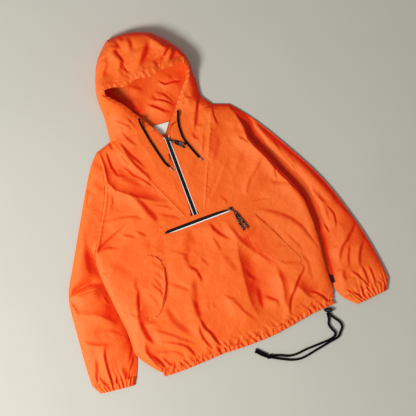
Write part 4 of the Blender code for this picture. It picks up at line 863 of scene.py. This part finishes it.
def fall_shape(kind):
    """Height across a crease with a total fall of one: flat far off, a slow rise, then the fall."""
    if kind == "soft":
        fall = np.where(np.abs(STEPS) < 1.2, np.cos(STEPS * math.pi / 2.4) ** 2, 0.0)
    else:
        toward = STEPS if kind == "crest" else -STEPS
        fall = np.where(toward > -1.0, np.clip(1.3 - toward, 0, None), 0.0)
    rise = np.exp(-np.abs(STEPS) / SPREAD)
    heights = np.cumsum(rise / rise.sum() - fall / fall.sum())
    return heights - heights[-1]


FALLS = {kind: fall_shape(kind) for kind in ("soft", "crest", "valley")}


def press_crease(heights, points, width, drop, kind, line):
    """A fall along the line between two slow rises. It grows narrow and shallow at its ends."""
    inside = near_line(points, line, 3.0 * SPREAD * width)
    if not len(inside):
        return
    side, _, place, length = beside(points[inside], line)
    full = ease((np.minimum(place, length - place) + 2.0) / (0.3 * length + 4.0))
    across = side / (width * (0.5 + 0.5 * full))
    heights[inside] += drop * full * np.interp(across, STEPS, FALLS[kind])


def uneven_wave(place, pitch, seed):
    turn = 2 * math.pi * place / pitch
    wave = np.sin(turn + 1.3 * np.sin(turn / 3.7 + seed) + 0.9 * np.sin(turn / 2.3 + 2 * seed))
    return wave * (0.62 + 0.38 * np.sin(turn / 5.3 + 3 * seed))


def press_gathers(heights, points, line, height, pitch, reach, slant=0.0, seed=0.0):
    inside = near_line(points, line, 3 * reach)
    if not len(inside):
        return
    side, far, place, length = beside(points[inside], line)
    fade = ease(np.minimum(place, length - place) / 12.0)
    wave = uneven_wave(place + slant * side, pitch, seed)
    heights[inside] += height * fade * wave * np.exp(-((far / reach) ** 1.5))


RANDOM = np.random.default_rng(11)
LATTICE = RANDOM.random((61, 61))


def soft_noise(points, size, turn=0.0, shift=0.0):
    """Smooth random values from 0 to 1, about this many millimetres from one bump to the next."""
    c, s = math.cos(turn), math.sin(turn)
    u = (points[:, 0] * c + points[:, 1] * s) / size + 17.3 + shift
    v = (-points[:, 0] * s + points[:, 1] * c) / size + 41.7 - shift
    i, j = np.floor(u).astype(int), np.floor(v).astype(int)
    fu, fv = ease(u - i), ease(v - j)
    a, b = LATTICE[i % 61, j % 61], LATTICE[(i + 1) % 61, j % 61]
    c2, d = LATTICE[i % 61, (j + 1) % 61], LATTICE[(i + 1) % 61, (j + 1) % 61]
    return (a * (1 - fu) + b * fu) * (1 - fv) + (c2 * (1 - fu) + d * fu) * fv


def crumple(points):
    """Low, sharp-topped ripples that wander, as handled nylon has."""
    warp = 34 * np.stack([soft_noise(points, 90, 0.4), soft_noise(points, 90, 1.1, 7.7)], 1)
    big = 1 - np.abs(2 * soft_noise(points + warp, 78, 0.3, 3.0) - 1)
    small = 1 - np.abs(2 * soft_noise(points + warp, 34, 0.9, 9.0) - 1)
    return 2.6 * (big**2 - 0.33) + 1.1 * (small**2 - 0.33)


def press_ridge(heights, points, line, height, width, offset):
    """The raised allowance beside a seam that is stitched down to one side."""
    inside = near_line(points, line, 4 * width + abs(offset))
    if len(inside):
        side, far, place, length = beside(points[inside], line)
        fade = ease(np.minimum(place, length - place) / 15.0)
        heights[inside] += height * fade * np.exp(-(((side - offset) / width) ** 2)) * (far < 4 * width)


def press_crumple(heights, points, line, height, size, reach, seed=0.0):
    """Fine, irregular crumples in a band beside a line, as where elastic or a cord gathers cloth."""
    inside = near_line(points, line, 2.5 * reach)
    if len(inside):
        near = points[inside]
        far = beside(near, line)[1]
        warp = 0.6 * size * (soft_noise(near, 1.7 * size, 0.7, seed)[:, None] - 0.5)
        bumps = np.abs(2 * soft_noise(near + warp, size, 0.5, seed + 2.0) - 1)
        heights[inside] += height * (0.5 - bumps) * np.exp(-((far / reach) ** 2))


def quiet_near_hardware(points):
    far = np.full(len(points), 1e9)
    for line in HARDWARE_LINES:
        far = np.minimum(far, beside(points, line)[1])
    return ease((far - 9.0) / 18.0)


print("unevenness of a gather:", np.round(uneven_wave(np.arange(0, 40, 8.0), 14, 1.0), 2))

# %% Creases, gathers and puckers together
FOLD_STRENGTH = 1.0


def cloth_relief(points, creases=CREASES):
    """Height in millimetres to add to the cloth over each pattern point."""
    heights = 0.5 * crumple(points)
    sway = np.stack([soft_noise(points, 24, 0.2, 5.0), soft_noise(points, 24, 1.3, 2.0)], 1) - 0.5
    wandering = points + 2.4 * sway
    for width, drop, kind, *line in creases:
        press_crease(heights, wandering, width, FOLD_STRENGTH * drop, kind, line)
    for name, height in (("pocket_left", 0.9), ("pocket_right", 0.3)):
        press_gathers(heights, points, SEAMS[name], height, 13, 9, 0.8, 2.0)
    for name in ("bib_left", "bib_right"):
        press_gathers(heights, points, SEAMS[name], 0.5, 17, 8, 0.4, 1.0)
    for name in ("armhole_left", "armhole_right"):
        press_gathers(heights, points, SEAMS[name], 0.7, 19, 11, 0.3, 4.0)
    for name, height, width, offset in (("armhole_left", 1.7, 4.5, 5.0), ("armhole_right", 1.0, 4.5, -5.0),
                                        ("bib_left", 1.1, 3.6, 4.0), ("bib_right", 1.1, 3.6, -4.0)):
        press_ridge(heights, points, SEAMS[name], height, width, offset)
    press_gathers(heights, points, SEAMS["hem"], 1.3, 19, 20, 0.45, 0.6)
    press_gathers(heights, points, SEAMS["hem"], 0.8, 8.5, 12, -0.6, 2.2)
    press_crumple(heights, points, SEAMS["hem"], 4.4, 15, 19, 3.0)
    press_crumple(heights, points, SEAMS["hem"], 2.4, 7.5, 15, 8.0)
    for name in ("cuff_left", "cuff_right"):
        press_gathers(heights, points, SEAMS[name], 1.7, 17, 30, 0.12, 5.0)
        press_gathers(heights, points, SEAMS[name], 1.0, 9, 13, -0.4, 1.7)
        press_crumple(heights, points, SEAMS[name], 2.2, 13, 16, 5.0)
    for side in HOOD_EDGE:
        press_gathers(heights, points, HOOD_EDGE[side][:7], 0.3, 17, 15, 0.5, 3.0)
        press_gathers(heights, points, HOOD_EDGE[side][6:], 0.5, 19, 17, 0.5, 3.0)
        press_crumple(heights, points, HOOD_EDGE[side][6:], 3.0, 14, 17, 6.0)
        press_crumple(heights, points, HOOD_EDGE[side][6:], 1.6, 7.5, 12, 4.0)
    return heights * quiet_near_hardware(points)


sample = np.array([(x, y) for x in range(-300, 301, 60) for y in range(-360, 261, 60)], float)
print("relief from", round(cloth_relief(sample).min(), 1), "to", round(cloth_relief(sample).max(), 1), "mm")

# %% [markdown]
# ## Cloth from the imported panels
#
# Each panel of the solid model is a thick plate. Its outer face is the true cut of the cloth, so a
# copy is opened along its rim, the outer sheet is kept, and the rest is thrown away. The sheet's
# triangles are joined to squares and subdivided, the creases are pressed in, and each edge gets a
# narrow lip that turns down into the seam. Last, the sheet gets the real thickness of a cloth.

# %% Take the outer sheet of a panel
def read_points(mesh):
    points = np.zeros(len(mesh.vertices) * 3)
    mesh.vertices.foreach_get("co", points)
    return points.reshape(-1, 3)


def rim_faces(mesh, wall):
    """The narrow faces that join a panel's two skins, found by the edges that are one wall tall."""
    points, tall, pairs = read_points(mesh), {}, set()
    for edge in mesh.edges:
        a, b = edge.vertices
        length = np.linalg.norm(points[a] - points[b])
        if abs(length - wall) < 4e-5:
            tall[a] = tall[b] = (points[a] - points[b]) / length
            pairs.add(edge.key)
    found = []
    for face in mesh.polygons:
        if pairs.intersection(face.edge_keys):
            found.append(face.index)
        elif all(v in tall for v in face.vertices):
            if np.mean([abs(np.array(face.normal) @ tall[v]) for v in face.vertices]) < 0.6:
                found.append(face.index)
    return found


def islands(mesh):
    """The faces of each part that hangs together along edges."""
    owner = list(range(len(mesh.polygons)))

    def root(f):
        while owner[f] != f:
            owner[f] = owner[owner[f]]
            f = owner[f]
        return f

    across = {}
    for face in mesh.polygons:
        for pair in face.edge_keys:
            owner[root(face.index)] = root(across.setdefault(pair, face.index))
    groups = {}
    for face in mesh.polygons:
        groups.setdefault(root(face.index), []).append(face)
    return list(groups.values())


def delete_faces(item, faces):
    for face in faces:
        item.data.polygons[face].select = True
    bpy.ops.object.mode_set(mode="EDIT")
    bpy.ops.mesh.delete(type="FACE")
    bpy.ops.object.mode_set(mode="OBJECT")


def clear_marks(mesh):
    for group in (mesh.polygons, mesh.edges, mesh.vertices):
        group.foreach_set("select", np.zeros(len(group), bool))


def outer_sheet(node_name, name, wall, tube=False, underside=False):
    """A copy of a packed panel's outer face. A tube's is its larger skin, and a flat panel's the upper one."""
    item = bpy.data.objects.new(name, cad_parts[node_name].data.copy())
    item.data.name = name
    item.data.materials.clear()
    bpy.context.scene.collection.objects.link(item)
    pick_only(item)
    bpy.ops.object.mode_set(mode="EDIT")
    bpy.ops.mesh.select_mode(type="FACE")
    bpy.ops.mesh.select_all(action="SELECT")
    bpy.ops.mesh.remove_doubles(threshold=2e-5)
    bpy.ops.mesh.select_all(action="DESELECT")
    bpy.ops.object.mode_set(mode="OBJECT")
    rim = rim_faces(item.data, wall * MM)
    clear_marks(item.data)
    delete_faces(item, rim)

    def worth(group):
        area = sum(face.area for face in group)
        facing = sum(face.area * face.normal.z for face in group)
        return area if tube else (-facing if underside else facing)

    groups = islands(item.data)
    kept = max(groups, key=worth)
    lowest = -0.7 if node_name.startswith(("front", "bib", "pocket")) else -2
    kept_faces = {face.index for face in kept if tube or underside or face.normal.z > lowest}
    clear_marks(item.data)
    delete_faces(item, [face.index for face in item.data.polygons if face.index not in kept_faces])
    bpy.ops.object.mode_set(mode="EDIT")
    bpy.ops.mesh.select_all(action="SELECT")
    bpy.ops.mesh.tris_convert_to_quads(face_threshold=math.radians(60), shape_threshold=math.radians(60))
    bpy.ops.object.mode_set(mode="OBJECT")
    item.data.polygons.foreach_set("use_smooth", np.ones(len(item.data.polygons), bool))
    return item


print("sheet cutter ready")

# %% Subdivide, press the creases in, turn the edges down
def apply_last_modifier(item):
    pick_only(item)
    bpy.ops.object.modifier_apply(modifier=item.modifiers[-1].name)


def subdivide(item, levels, kind="CATMULL_CLARK"):
    if not levels:
        return
    smoother = item.modifiers.new("smoother", "SUBSURF")
    smoother.levels = smoother.render_levels = levels
    smoother.subdivision_type = kind
    smoother.boundary_smooth = "PRESERVE_CORNERS"
    apply_last_modifier(item)


def read_normals(mesh):
    normals = np.zeros(len(mesh.vertices) * 3)
    mesh.vertices.foreach_get("normal", normals)
    return normals.reshape(-1, 3)


# cloth turned from this way gets painted shade, and cloth turned to it a paler painted tone
WINDOW_WAY = np.array([-0.688, -0.111, 0.717])  # towards the light: cloth turned from it is in shade


TUBES = ("sleeve_left", "sleeve_right", "cuff_left", "cuff_right")
FLAT_ON_TABLE = ("back_panel", "hem_casing_back")


def puff_hood(points):
    """Makes the hood's dome flatter on top and steeper at its edge, and stands its left brim up."""
    places = pattern_places(points)
    x, y, z = places.T
    full = ease((y - 350) / 70)
    top = 58.0
    part = np.clip(z / top, 0, 1)
    fuller = np.maximum(z, top * (1 - (1 - part) ** 2.3))
    z = z + (fuller - z) * full * ease((z - 6) / 9)
    far = beside(places[:, :2], HOOD_EDGE["left"][1:8])[1]
    z = z + 10.0 * np.exp(-((far / 30.0) ** 2)) * ease((z - 6) / 8) * ease((y - 335) / 45)
    sag = (9.0 + 3.5 * np.sin(x / 13.0)) * np.exp(-(((y - 446) / 26.0) ** 2)) * ease((x + 118) / 50) * ease((118 - x) / 60)
    y = y - sag
    return np.stack([x, y, z], 1) * MM + np.array(at(0, 0))


def press_relief(item, creases=CREASES, strength=1.0, least=2.0, shade=0.0, most=1.0):
    """Lifts the cloth that faces up by the relief, and paints shade into its colour where it is low."""
    points = read_points(item.data)
    if item.name.startswith("hood") and creases is CREASES:
        points = puff_hood(points)
        item.data.vertices.foreach_set("co", points.ravel())
        item.data.update()
    facing = read_normals(item.data)[:, 2]
    places = pattern_places(points)
    relief = cloth_relief(places[:, :2], creases) * strength
    aside, gap, along = beside(places[:, :2], SLEEVE_GAP)[:3]
    ends = ease(along / 60.0) * ease((455.0 - along) / 40.0)
    if item.name.startswith("sleeve_right"):
        relief -= 0.7 * places[:, 2] * ends * (1 - ease((gap - 10.0) / 24.0))
    if item.name.startswith("front"):
        relief += 6.0 * ends * np.exp(-((gap / 30.0) ** 2))
    weight = ease((facing - 0.12) / 0.5) * ease((places[:, 2] - 2.0) / 8.0)
    lifted = relief * weight
    lowest = np.minimum(places[:, 2], least + (0.12 if item.name.startswith("sleeve") else 0.35) * places[:, 2])
    new_height = np.maximum(places[:, 2] + lifted, lowest)
    points[:, 2] = np.where(weight > 0, new_height * MM, points[:, 2])
    item.data.vertices.foreach_set("co", points.ravel())
    item.data.update()
    # painted shade, deeper where the creases press the cloth down
    mark_painted_shade(item, -relief * weight / 14.0, shade, most)


def mark_painted_shade(item, relief, shade=0.0, most=1.0):
    """Paints shade into the cloth's colour: deeper in hollows, on slopes turned from the light, in the shadow in
    the gap beside the right sleeve and in the shadow under the hood's left brim, and paler on slopes that face the
    light.
    """
    places = pattern_places(read_points(item.data))[:, :2]
    under = item.name.removesuffix("_cloth") in FLAT_ON_TABLE
    turned = 0.717 if under else read_normals(item.data) @ WINDOW_WAY
    gap, along = beside(places, SLEEVE_GAP)[1:3]
    # painted shade from depth and from slopes turned from the light; slopes facing it go paler, a painted highlight
    painted_shade = 0.25 + np.clip(relief, 0, 0.2) + np.clip(1.7 * (0.717 - turned), -1.0, 0.7) + shade
    # painted shadow of the body in the gap beside the right sleeve
    painted_shade = painted_shade + 0.9 * np.exp(-((gap / (15.0 - along / 60.0)) ** 2))
    # painted shadow of the hood's left brim on the cloth inside the hood
    if item.name.startswith("hood_back"):
        painted_shade = painted_shade + 0.9 * np.exp(-((beside(places, HOOD_EDGE["left"][3:8])[1] / 20.0) ** 2))
    painted_shade = np.clip(painted_shade, 0, most)
    item.data.attributes.new("painted_shade", "FLOAT", "POINT").data.foreach_set("value", painted_shade.astype(np.float32))
    item.data.update()


def turn_edges_down(item, out=0.9, down=0.9):
    """Gives every open edge a narrow lip that leaves the sheet sideways and downwards."""
    mesh = item.data
    points, normals = read_points(mesh), read_normals(mesh)
    uses = {}
    for face in mesh.polygons:
        for pair in face.edge_keys:
            uses.setdefault(pair, []).append(face.index)
    push = np.zeros_like(points)
    for pair, faces in uses.items():
        if len(faces) == 1:
            middle = np.array(mesh.polygons[faces[0]].center)
            a, b = points[pair[0]], points[pair[1]]
            away = np.cross(b - a, normals[pair[0]])
            away *= np.sign(away @ ((a + b) / 2 - middle)) / max(np.linalg.norm(away), 1e-9)
            push[pair[0]] += away
            push[pair[1]] += away
    pick_only(item)
    bpy.ops.object.mode_set(mode="EDIT")
    bpy.ops.mesh.select_mode(type="EDGE")
    bpy.ops.mesh.select_all(action="DESELECT")
    bpy.ops.mesh.select_non_manifold(extend=False, use_wire=False, use_boundary=True,
                                     use_multi_face=False, use_non_contiguous=False, use_verts=False)
    bpy.ops.mesh.extrude_edges_move()
    bpy.ops.object.mode_set(mode="OBJECT")
    count = len(points)
    for edge in mesh.edges:
        low, high = sorted(edge.vertices)
        if low < count <= high:
            way = push[low] / max(np.linalg.norm(push[low]), 1e-9)
            mesh.vertices[high].co = points[low] + way * out * MM - normals[low] * down * MM
    # the painted shade on the turned-down lips is held to at most 0.4
    marks = mesh.attributes["painted_shade"].data
    for new in range(count, len(mesh.vertices)):
        marks[new].value = min(marks[new].value, 0.4)
    mesh.polygons.foreach_set("use_smooth", np.ones(len(mesh.polygons), bool))
    mesh.update()


def thin_out(item, most):
    """Leaves out points where a large sheet is nearly flat, down to this many triangles."""
    count = sum(len(face.vertices) - 2 for face in item.data.polygons)
    if count > most:
        thinner = item.modifiers.new("thinner", "DECIMATE")
        thinner.ratio = most / count
        apply_last_modifier(item)


def give_thickness(item, thickness):
    """Makes a sheet as thick as its cloth, and keeps its underside flat where it rests on the table."""
    wall = item.modifiers.new("cloth thickness", "SOLIDIFY")
    wall.thickness = thickness * MM
    wall.offset = -1
    apply_last_modifier(item)
    points = read_points(item.data)
    points[:, 2] = np.maximum(points[:, 2], 0.0)
    item.data.vertices.foreach_set("co", points.ravel())
    item.data.update()


print("cloth tools ready")

# %% [markdown]
# ### Cut list
#
# One line for each piece of cloth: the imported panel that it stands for, the wall of that panel,
# how finely to subdivide it, how the cloth is held, and the size it was cut to before sewing.

# %% Make the cloth pieces
CUTS = {  # panel: wall, levels, held, flat width and length, flat area, what it rests on
    "front_panel": (1.2, 3, "laid", (0.72, 0.71), 0.345, ["back_panel"]),
    "bib_left": (1.2, 3, "laid", (0.16, 0.30), 0.0254, ["back_panel"]),
    "bib_right": (1.2, 3, "laid", (0.16, 0.30), 0.0253, ["back_panel"]),
    "pocket_left": (1.2, 3, "laid", (0.127, 0.19), 0.0127, ["front_panel"]),
    "pocket_right": (1.2, 3, "laid", (0.127, 0.19), 0.0126, ["front_panel"]),
    "back_panel": (1.2, 0, "laid", (0.64, 0.71), 0.3896, []),
    "sleeve_left": (1.2, 3, "folded", (0.36, 0.70), 0.1400, []),
    "sleeve_right": (1.2, 3, "folded", (0.34, 0.70), 0.1353, []),
    "cuff_left": (1.2, 2, "gathered", (0.34, 0.026), 0.0088, []),
    "cuff_right": (1.2, 2, "gathered", (0.36, 0.029), 0.0104, []),
    "hem_casing_front": (2.0, 2, "gathered", (0.64, 0.017), 0.0108, ["hem_casing_back"]),
    "hem_casing_back": (2.0, 0, "laid", (0.54, 0.0165), 0.0089, []),
    "hood_side_left": (1.2, 3, "draped", (0.14, 0.31), 0.0310, ["hood_back"]),
    "hood_side_right": (1.2, 3, "draped", (0.13, 0.28), 0.0210, ["hood_back"]),
    "hood_crown": (1.2, 3, "draped", (0.20, 0.15), 0.0205, ["hood_back"]),
    "hood_casing": (2.0, 2, "gathered", (0.68, 0.0145), 0.0098, ["hood_back"]),
    "hood_back": (1.2, 4, "laid", (0.31, 0.29), 0.0694, []),
}


def sheet_area(mesh):
    return sum(face.area for face in mesh.polygons)


cloth = {}
for panel, (wall, levels, held, flat, area, under) in CUTS.items():
    item = outer_sheet(panel, f"{panel}_cloth", wall, panel in TUBES, panel in FLAT_ON_TABLE)
    subdivide(item, levels)
    if panel == "hood_back":
        # inside the hood the painted shade starts deeper by 0.12
        press_relief(item, HOOD_INNER_CREASES, least=1.0, shade=0.12)
    elif panel not in FLAT_ON_TABLE:
        # the right pocket and the hood's casing get at most half as much painted shade
        press_relief(item, most=0.5 if panel in ("pocket_right", "hood_casing") else 1.0)
    else:
        # flat panels get the base painted shade and the painted shadow of the sleeve gap, with no relief
        mark_painted_shade(item, np.zeros(len(item.data.vertices)))
    if panel not in FLAT_ON_TABLE:
        turn_edges_down(item, *((2.0, 0.5) if panel.startswith("hood") else (1.1, 0.3) if "bib" in panel else (0.9, 0.9)))
    thin_out(item, 94000)
    give_thickness(item, 0.8 if wall < 2 else 1.2)
    item.data.materials.append(NYLON)
    cloth[panel] = item
    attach(item, "garment")
    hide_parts(panel)
    print(f"{panel}: {sheet_area(item.data) / 2:.4f} m2 from {area:.4f}, {len(item.data.polygons)} faces")

# %% [markdown]
# ## The table and the light
#
# A pale, plain table and one broad light from the left. The light is large and not too low, so the
# folds turn softly from bright to dark and the shadow on the table has a soft edge. A weak sky
# fills the shadows.

# %% Table
pick_only()
bpy.ops.mesh.primitive_plane_add(size=9.0, location=(0.0, 0.0, -0.0005))
table = bpy.context.object
table.name = "table"
table_finish, table_shader = new_finish("pale table", (0.44, 0.435, 0.395), 0.85)
table_place = node(table_finish, "ShaderNodeTexCoord").outputs["Object"]
mottle = node(table_finish, "ShaderNodeTexNoise", inputs={
    "Vector": table_place, "Scale": 3.0, "Detail": 4.0})
table_colour = colours_between(table_finish, mottle.outputs["Fac"], [
    (0.3, (0.545, 0.54, 0.487)), (0.7, (0.57, 0.562, 0.51))])
link(table_finish, table_colour, table_shader.inputs["Base Color"])
table.data.materials.append(table_finish)


# %% Lights
def soft_light(name, way, height, distance, size, power, colour):
    pick_only()
    way = np.array(way, float) / np.linalg.norm(way)
    flat = distance * math.cos(math.radians(height))
    place = (0.04 + way[0] * flat, -0.076 + way[1] * flat, distance * math.sin(math.radians(height)))
    bpy.ops.object.light_add(type="AREA", location=place)
    lamp = bpy.context.object
    lamp.name = name
    lamp.data.size = size
    lamp.data.energy = power
    lamp.data.color = colour
    lamp.rotation_euler = (Vector((0.04, -0.076, 0.0)) - Vector(place)).to_track_quat("-Z", "Y").to_euler()
    return lamp


soft_light("window", (-0.99, -0.16), 46, 3.2, 0.9, 97.0, (1.0, 0.985, 0.96))
world = bpy.data.worlds.new("studio")
bpy.context.scene.world = world
world.use_nodes = True
world.node_tree.nodes["Background"].inputs["Color"].default_value = (0.90, 0.86, 0.80, 1.0)
world.node_tree.nodes["Background"].inputs["Strength"].default_value = 0.35
bpy.context.scene.view_settings.view_transform = "Standard"

# %% [markdown]
# ## Zips
#
# The zips' sliders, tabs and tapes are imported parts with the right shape, and get finishes here.
# The chain is a woven strip on which two rows of teeth lock into each other. One tooth is shaped
# from a cube, and copies of it are set along each zip.

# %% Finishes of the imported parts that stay
FINISHES = {
    "neck_zip_tape_left": NECK_TAPE, "neck_zip_tape_right": NECK_TAPE,
    "pocket_zip_tape_lower": ZIP_TAPE, "pocket_zip_tape_upper": ZIP_WEB,
    "neck_zip_chain": ZIP_WEB, "pocket_zip_chain": ZIP_WEB,
    "neck_zip_slider": ENAMEL, "pocket_zip_slider": ENAMEL,
    "neck_pull_tab": ENAMEL, "pocket_pull_tab": ENAMEL,
    "hood_eyelet_left": THREAD, "hood_eyelet_right": THREAD,
    "hem_cord_lock": MOULDED_BLACK, "hem_lock_button": BUTTON_GREY,
    "side_tab": TAB_BLACK,
}
for name, finish in FINISHES.items():
    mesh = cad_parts[name].data
    mesh.materials.clear()
    mesh.materials.append(finish)
print("packed parts finished:", len(FINISHES))

# %% The bare neck label
LABEL_CORNERS = [(-26, 289), (25, 285), (-1, 253), (-14, 256)]  # upper left, upper right, lower right, lower left
pick_only()
bpy.ops.mesh.primitive_grid_add(x_subdivisions=24, y_subdivisions=16, size=2.0)
label = bpy.context.object
label.name = "neck_label_cloth"
spots = read_points(label.data)
u, v = (spots[:, 0] + 1) / 2, (spots[:, 1] + 1) / 2
corners = np.array(LABEL_CORNERS, float)
flat_places = ((1 - u)[:, None] * (corners[3] + (corners[0] - corners[3]) * v[:, None])
               + u[:, None] * (corners[2] + (corners[1] - corners[2]) * v[:, None]))
curl = 2.4 + 1.1 * np.sin(u * 5.0 + 0.6) * (1 - v) + 0.5 * np.sin(v * 7.0 + u * 2.0)
placed = np.column_stack([flat_places, curl]) * MM + np.array(at(0, 0))
label.data.vertices.foreach_set("co", placed.ravel())
label.data.polygons.foreach_set("use_smooth", np.ones(len(label.data.polygons), bool))
label.data.update()
give_thickness(label, 0.5)
label.data.materials.append(LABEL_WHITE)
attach(label, "garment")
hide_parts("neck_label")
print("label:", len(label.data.polygons), "faces")


# %% Set many copies of one small shape
def set_copies(name, shape, places, finish):
    """One mesh with a copy of a small shape at each placing matrix."""
    points = read_points(shape.data)
    faces = [tuple(face.vertices) for face in shape.data.polygons]
    corners, all_faces = [], []
    for k, place in enumerate(places):
        turn = np.array(place.to_3x3())
        corners.append(points @ turn.T + np.array(place.translation))
        all_faces += [tuple(v + k * len(points) for v in face) for face in faces]
    mesh = bpy.data.meshes.new(name)
    mesh.from_pydata(np.vstack(corners).tolist(), [], all_faces)
    mesh.shade_smooth()
    mesh.set_sharp_from_angle(angle=math.radians(50))
    mesh.materials.append(finish)
    item = bpy.data.objects.new(name, mesh)
    bpy.context.scene.collection.objects.link(item)
    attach(item, "garment")
    return item


def over(items):
    """A function that gives the height and normal of the highest cloth or part at a place."""
    trees = [BVHTree.FromPolygons([v.co for v in item.data.vertices],
                                  [tuple(f.vertices) for f in item.data.polygons]) for item in items]

    def look(x, y):
        start = at(x, y, 200)
        hits = [tree.ray_cast(start, Vector((0, 0, -1))) for tree in trees]
        hits = [hit for hit in hits if hit[0] is not None]
        if not hits:
            return None
        best = max(hits, key=lambda hit: hit[0].z)
        return best[0], best[1]

    return look


def facing(spot, normal, ahead, lift=0.0):
    """A placing matrix whose X runs ahead along the surface and whose Z stands off it."""
    up = Vector(normal).normalized()
    if up.z < 0:
        up = -up
    ahead = Vector((ahead[0], ahead[1], 0.0))
    ahead = (ahead - up * ahead.dot(up)).normalized()
    side = up.cross(ahead)
    turn = Matrix((ahead, side, up)).transposed().to_4x4()
    turn.translation = Vector(spot) + up * lift * MM
    return turn


print("copier ready")

# %% Zip teeth
pick_only()
bpy.ops.mesh.primitive_cube_add(size=MM)
tooth = bpy.context.object
tooth.name = "zip_tooth"
bpy.ops.object.mode_set(mode="EDIT")
bpy.ops.transform.resize(value=(1.35, 3.4, 1.1))
bpy.ops.mesh.bevel(offset=0.3 * MM, segments=1, affect="EDGES")
bpy.ops.object.mode_set(mode="OBJECT")
print("one tooth has", len(tooth.data.polygons), "faces")

TOOTH_PITCH = 2.1
chain_top = {name: over([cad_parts[f"{name}_zip_chain"]]) for name in ("neck", "pocket")}
teeth = {"neck": [], "pocket": []}
for k in range(2000):
    y = -3.0 + k * TOOTH_PITCH / 2
    if y > 228:
        break
    spot, normal = chain_top["neck"](0.0, y)
    spot.x += (1.0 if k % 2 else -1.0) * 0.75 * MM
    teeth["neck"].append(facing(spot, (0, 0, 1), (0, 1), 0.15))
for k in range(2000):
    x = -102.0 + k * TOOTH_PITCH / 2
    if x > 97:
        break
    spot, normal = chain_top["pocket"](x, -26.0)
    spot.y += (1.0 if k % 2 else -1.0) * 0.75 * MM
    teeth["pocket"].append(facing(spot, (0, 0, 1), (1, 0), 0.15))
for zip_name, places in teeth.items():
    row = set_copies(f"{zip_name}_zip_teeth", tooth, places, ZIP_NYLON)
    print(row.name, len(places))
bpy.data.objects.remove(tooth)

# %% [markdown]
# ## Stitching
#
# Topstitching is a row of short, slightly sunk threads. One stitch is a small ball drawn out along
# the seam, and copies of it are laid on the cloth along lines set off from each seam.

# %% Lay the stitches
pick_only()
bpy.ops.mesh.primitive_uv_sphere_add(segments=6, ring_count=4, radius=0.5 * MM)
stitch = bpy.context.object
bpy.ops.object.mode_set(mode="EDIT")
bpy.ops.transform.resize(value=(2.5, 0.62, 0.5))
bpy.ops.object.mode_set(mode="OBJECT")


def set_off(line, off):
    """The same line this far to its left."""
    line = smooth_line([(x, y, 0.0) for x, y in line], 4.0)[:, :2] if len(line) > 2 else np.array(line, float)
    ahead = np.gradient(line, axis=0)
    ahead /= np.linalg.norm(ahead, axis=1)[:, None]
    return line + np.stack([-ahead[:, 1], ahead[:, 0]], 1) * off


def stitches_along(line, look, pitch=3.4, trim=4.0):
    line = np.array(line, float)
    places = np.concatenate([[0], np.cumsum(np.linalg.norm(np.diff(line, axis=0), axis=1))])
    made = []
    for place in np.arange(trim, places[-1] - trim, pitch):
        x, y = (np.interp(place, places, column) for column in line.T)
        x2, y2 = (np.interp(place + 1.0, places, column) for column in line.T)
        hit = look(x, y)
        if hit:
            made.append(facing(hit[0], hit[1], (x2 - x, y2 - y), 0.05))
    return made


look_cloth = over([item for name, item in cloth.items() if name not in FLAT_ON_TABLE])
STITCH_ROWS = {
    "bib_stitches": [("bib_left", 2.5), ("bib_left", 7.5), ("bib_right", -2.5), ("bib_right", -7.5)],
    "pocket_stitches": [("pocket_left", -2.0), ("pocket_left", -7.0), ("pocket_right", 2.0), ("pocket_right", 7.0)],
    "armhole_stitches": [("armhole_left", 3.0), ("armhole_right", -3.0)],
    "hem_stitches": [("hem", 2.0), ("hem", -1.8)],
    "cuff_stitches": [("cuff_left", 2.0), ("cuff_right", -2.0), ("cuff_left", -3.0), ("cuff_right", 3.0)],
}
for name, rows in STITCH_ROWS.items():
    places = []
    for seam, off in rows:
        places += stitches_along(set_off(SEAMS[seam], off), look_cloth)
    row = set_copies(name, stitch, places, THREAD)
    print(name, len(places))

# %% Stitches of the pocket zip, the neck zip and the hood casing
places = []
for y in (-36.0, -16.0):
    places += stitches_along([(-108, y), (108, y)], look_cloth)
for x in (-11.0, 11.0):
    places += stitches_along([(x, -4), (x, 236)], look_cloth)
row = set_copies("zip_stitches", stitch, places, THREAD)
places = []
for side, sign in (("left", 1), ("right", -1)):
    places += stitches_along(set_off(HOOD_EDGE[side], sign * 13.0), look_cloth)
row = set_copies("hood_stitches", stitch, places, THREAD)
bpy.data.objects.remove(stitch)
print("hood stitches", len(places))
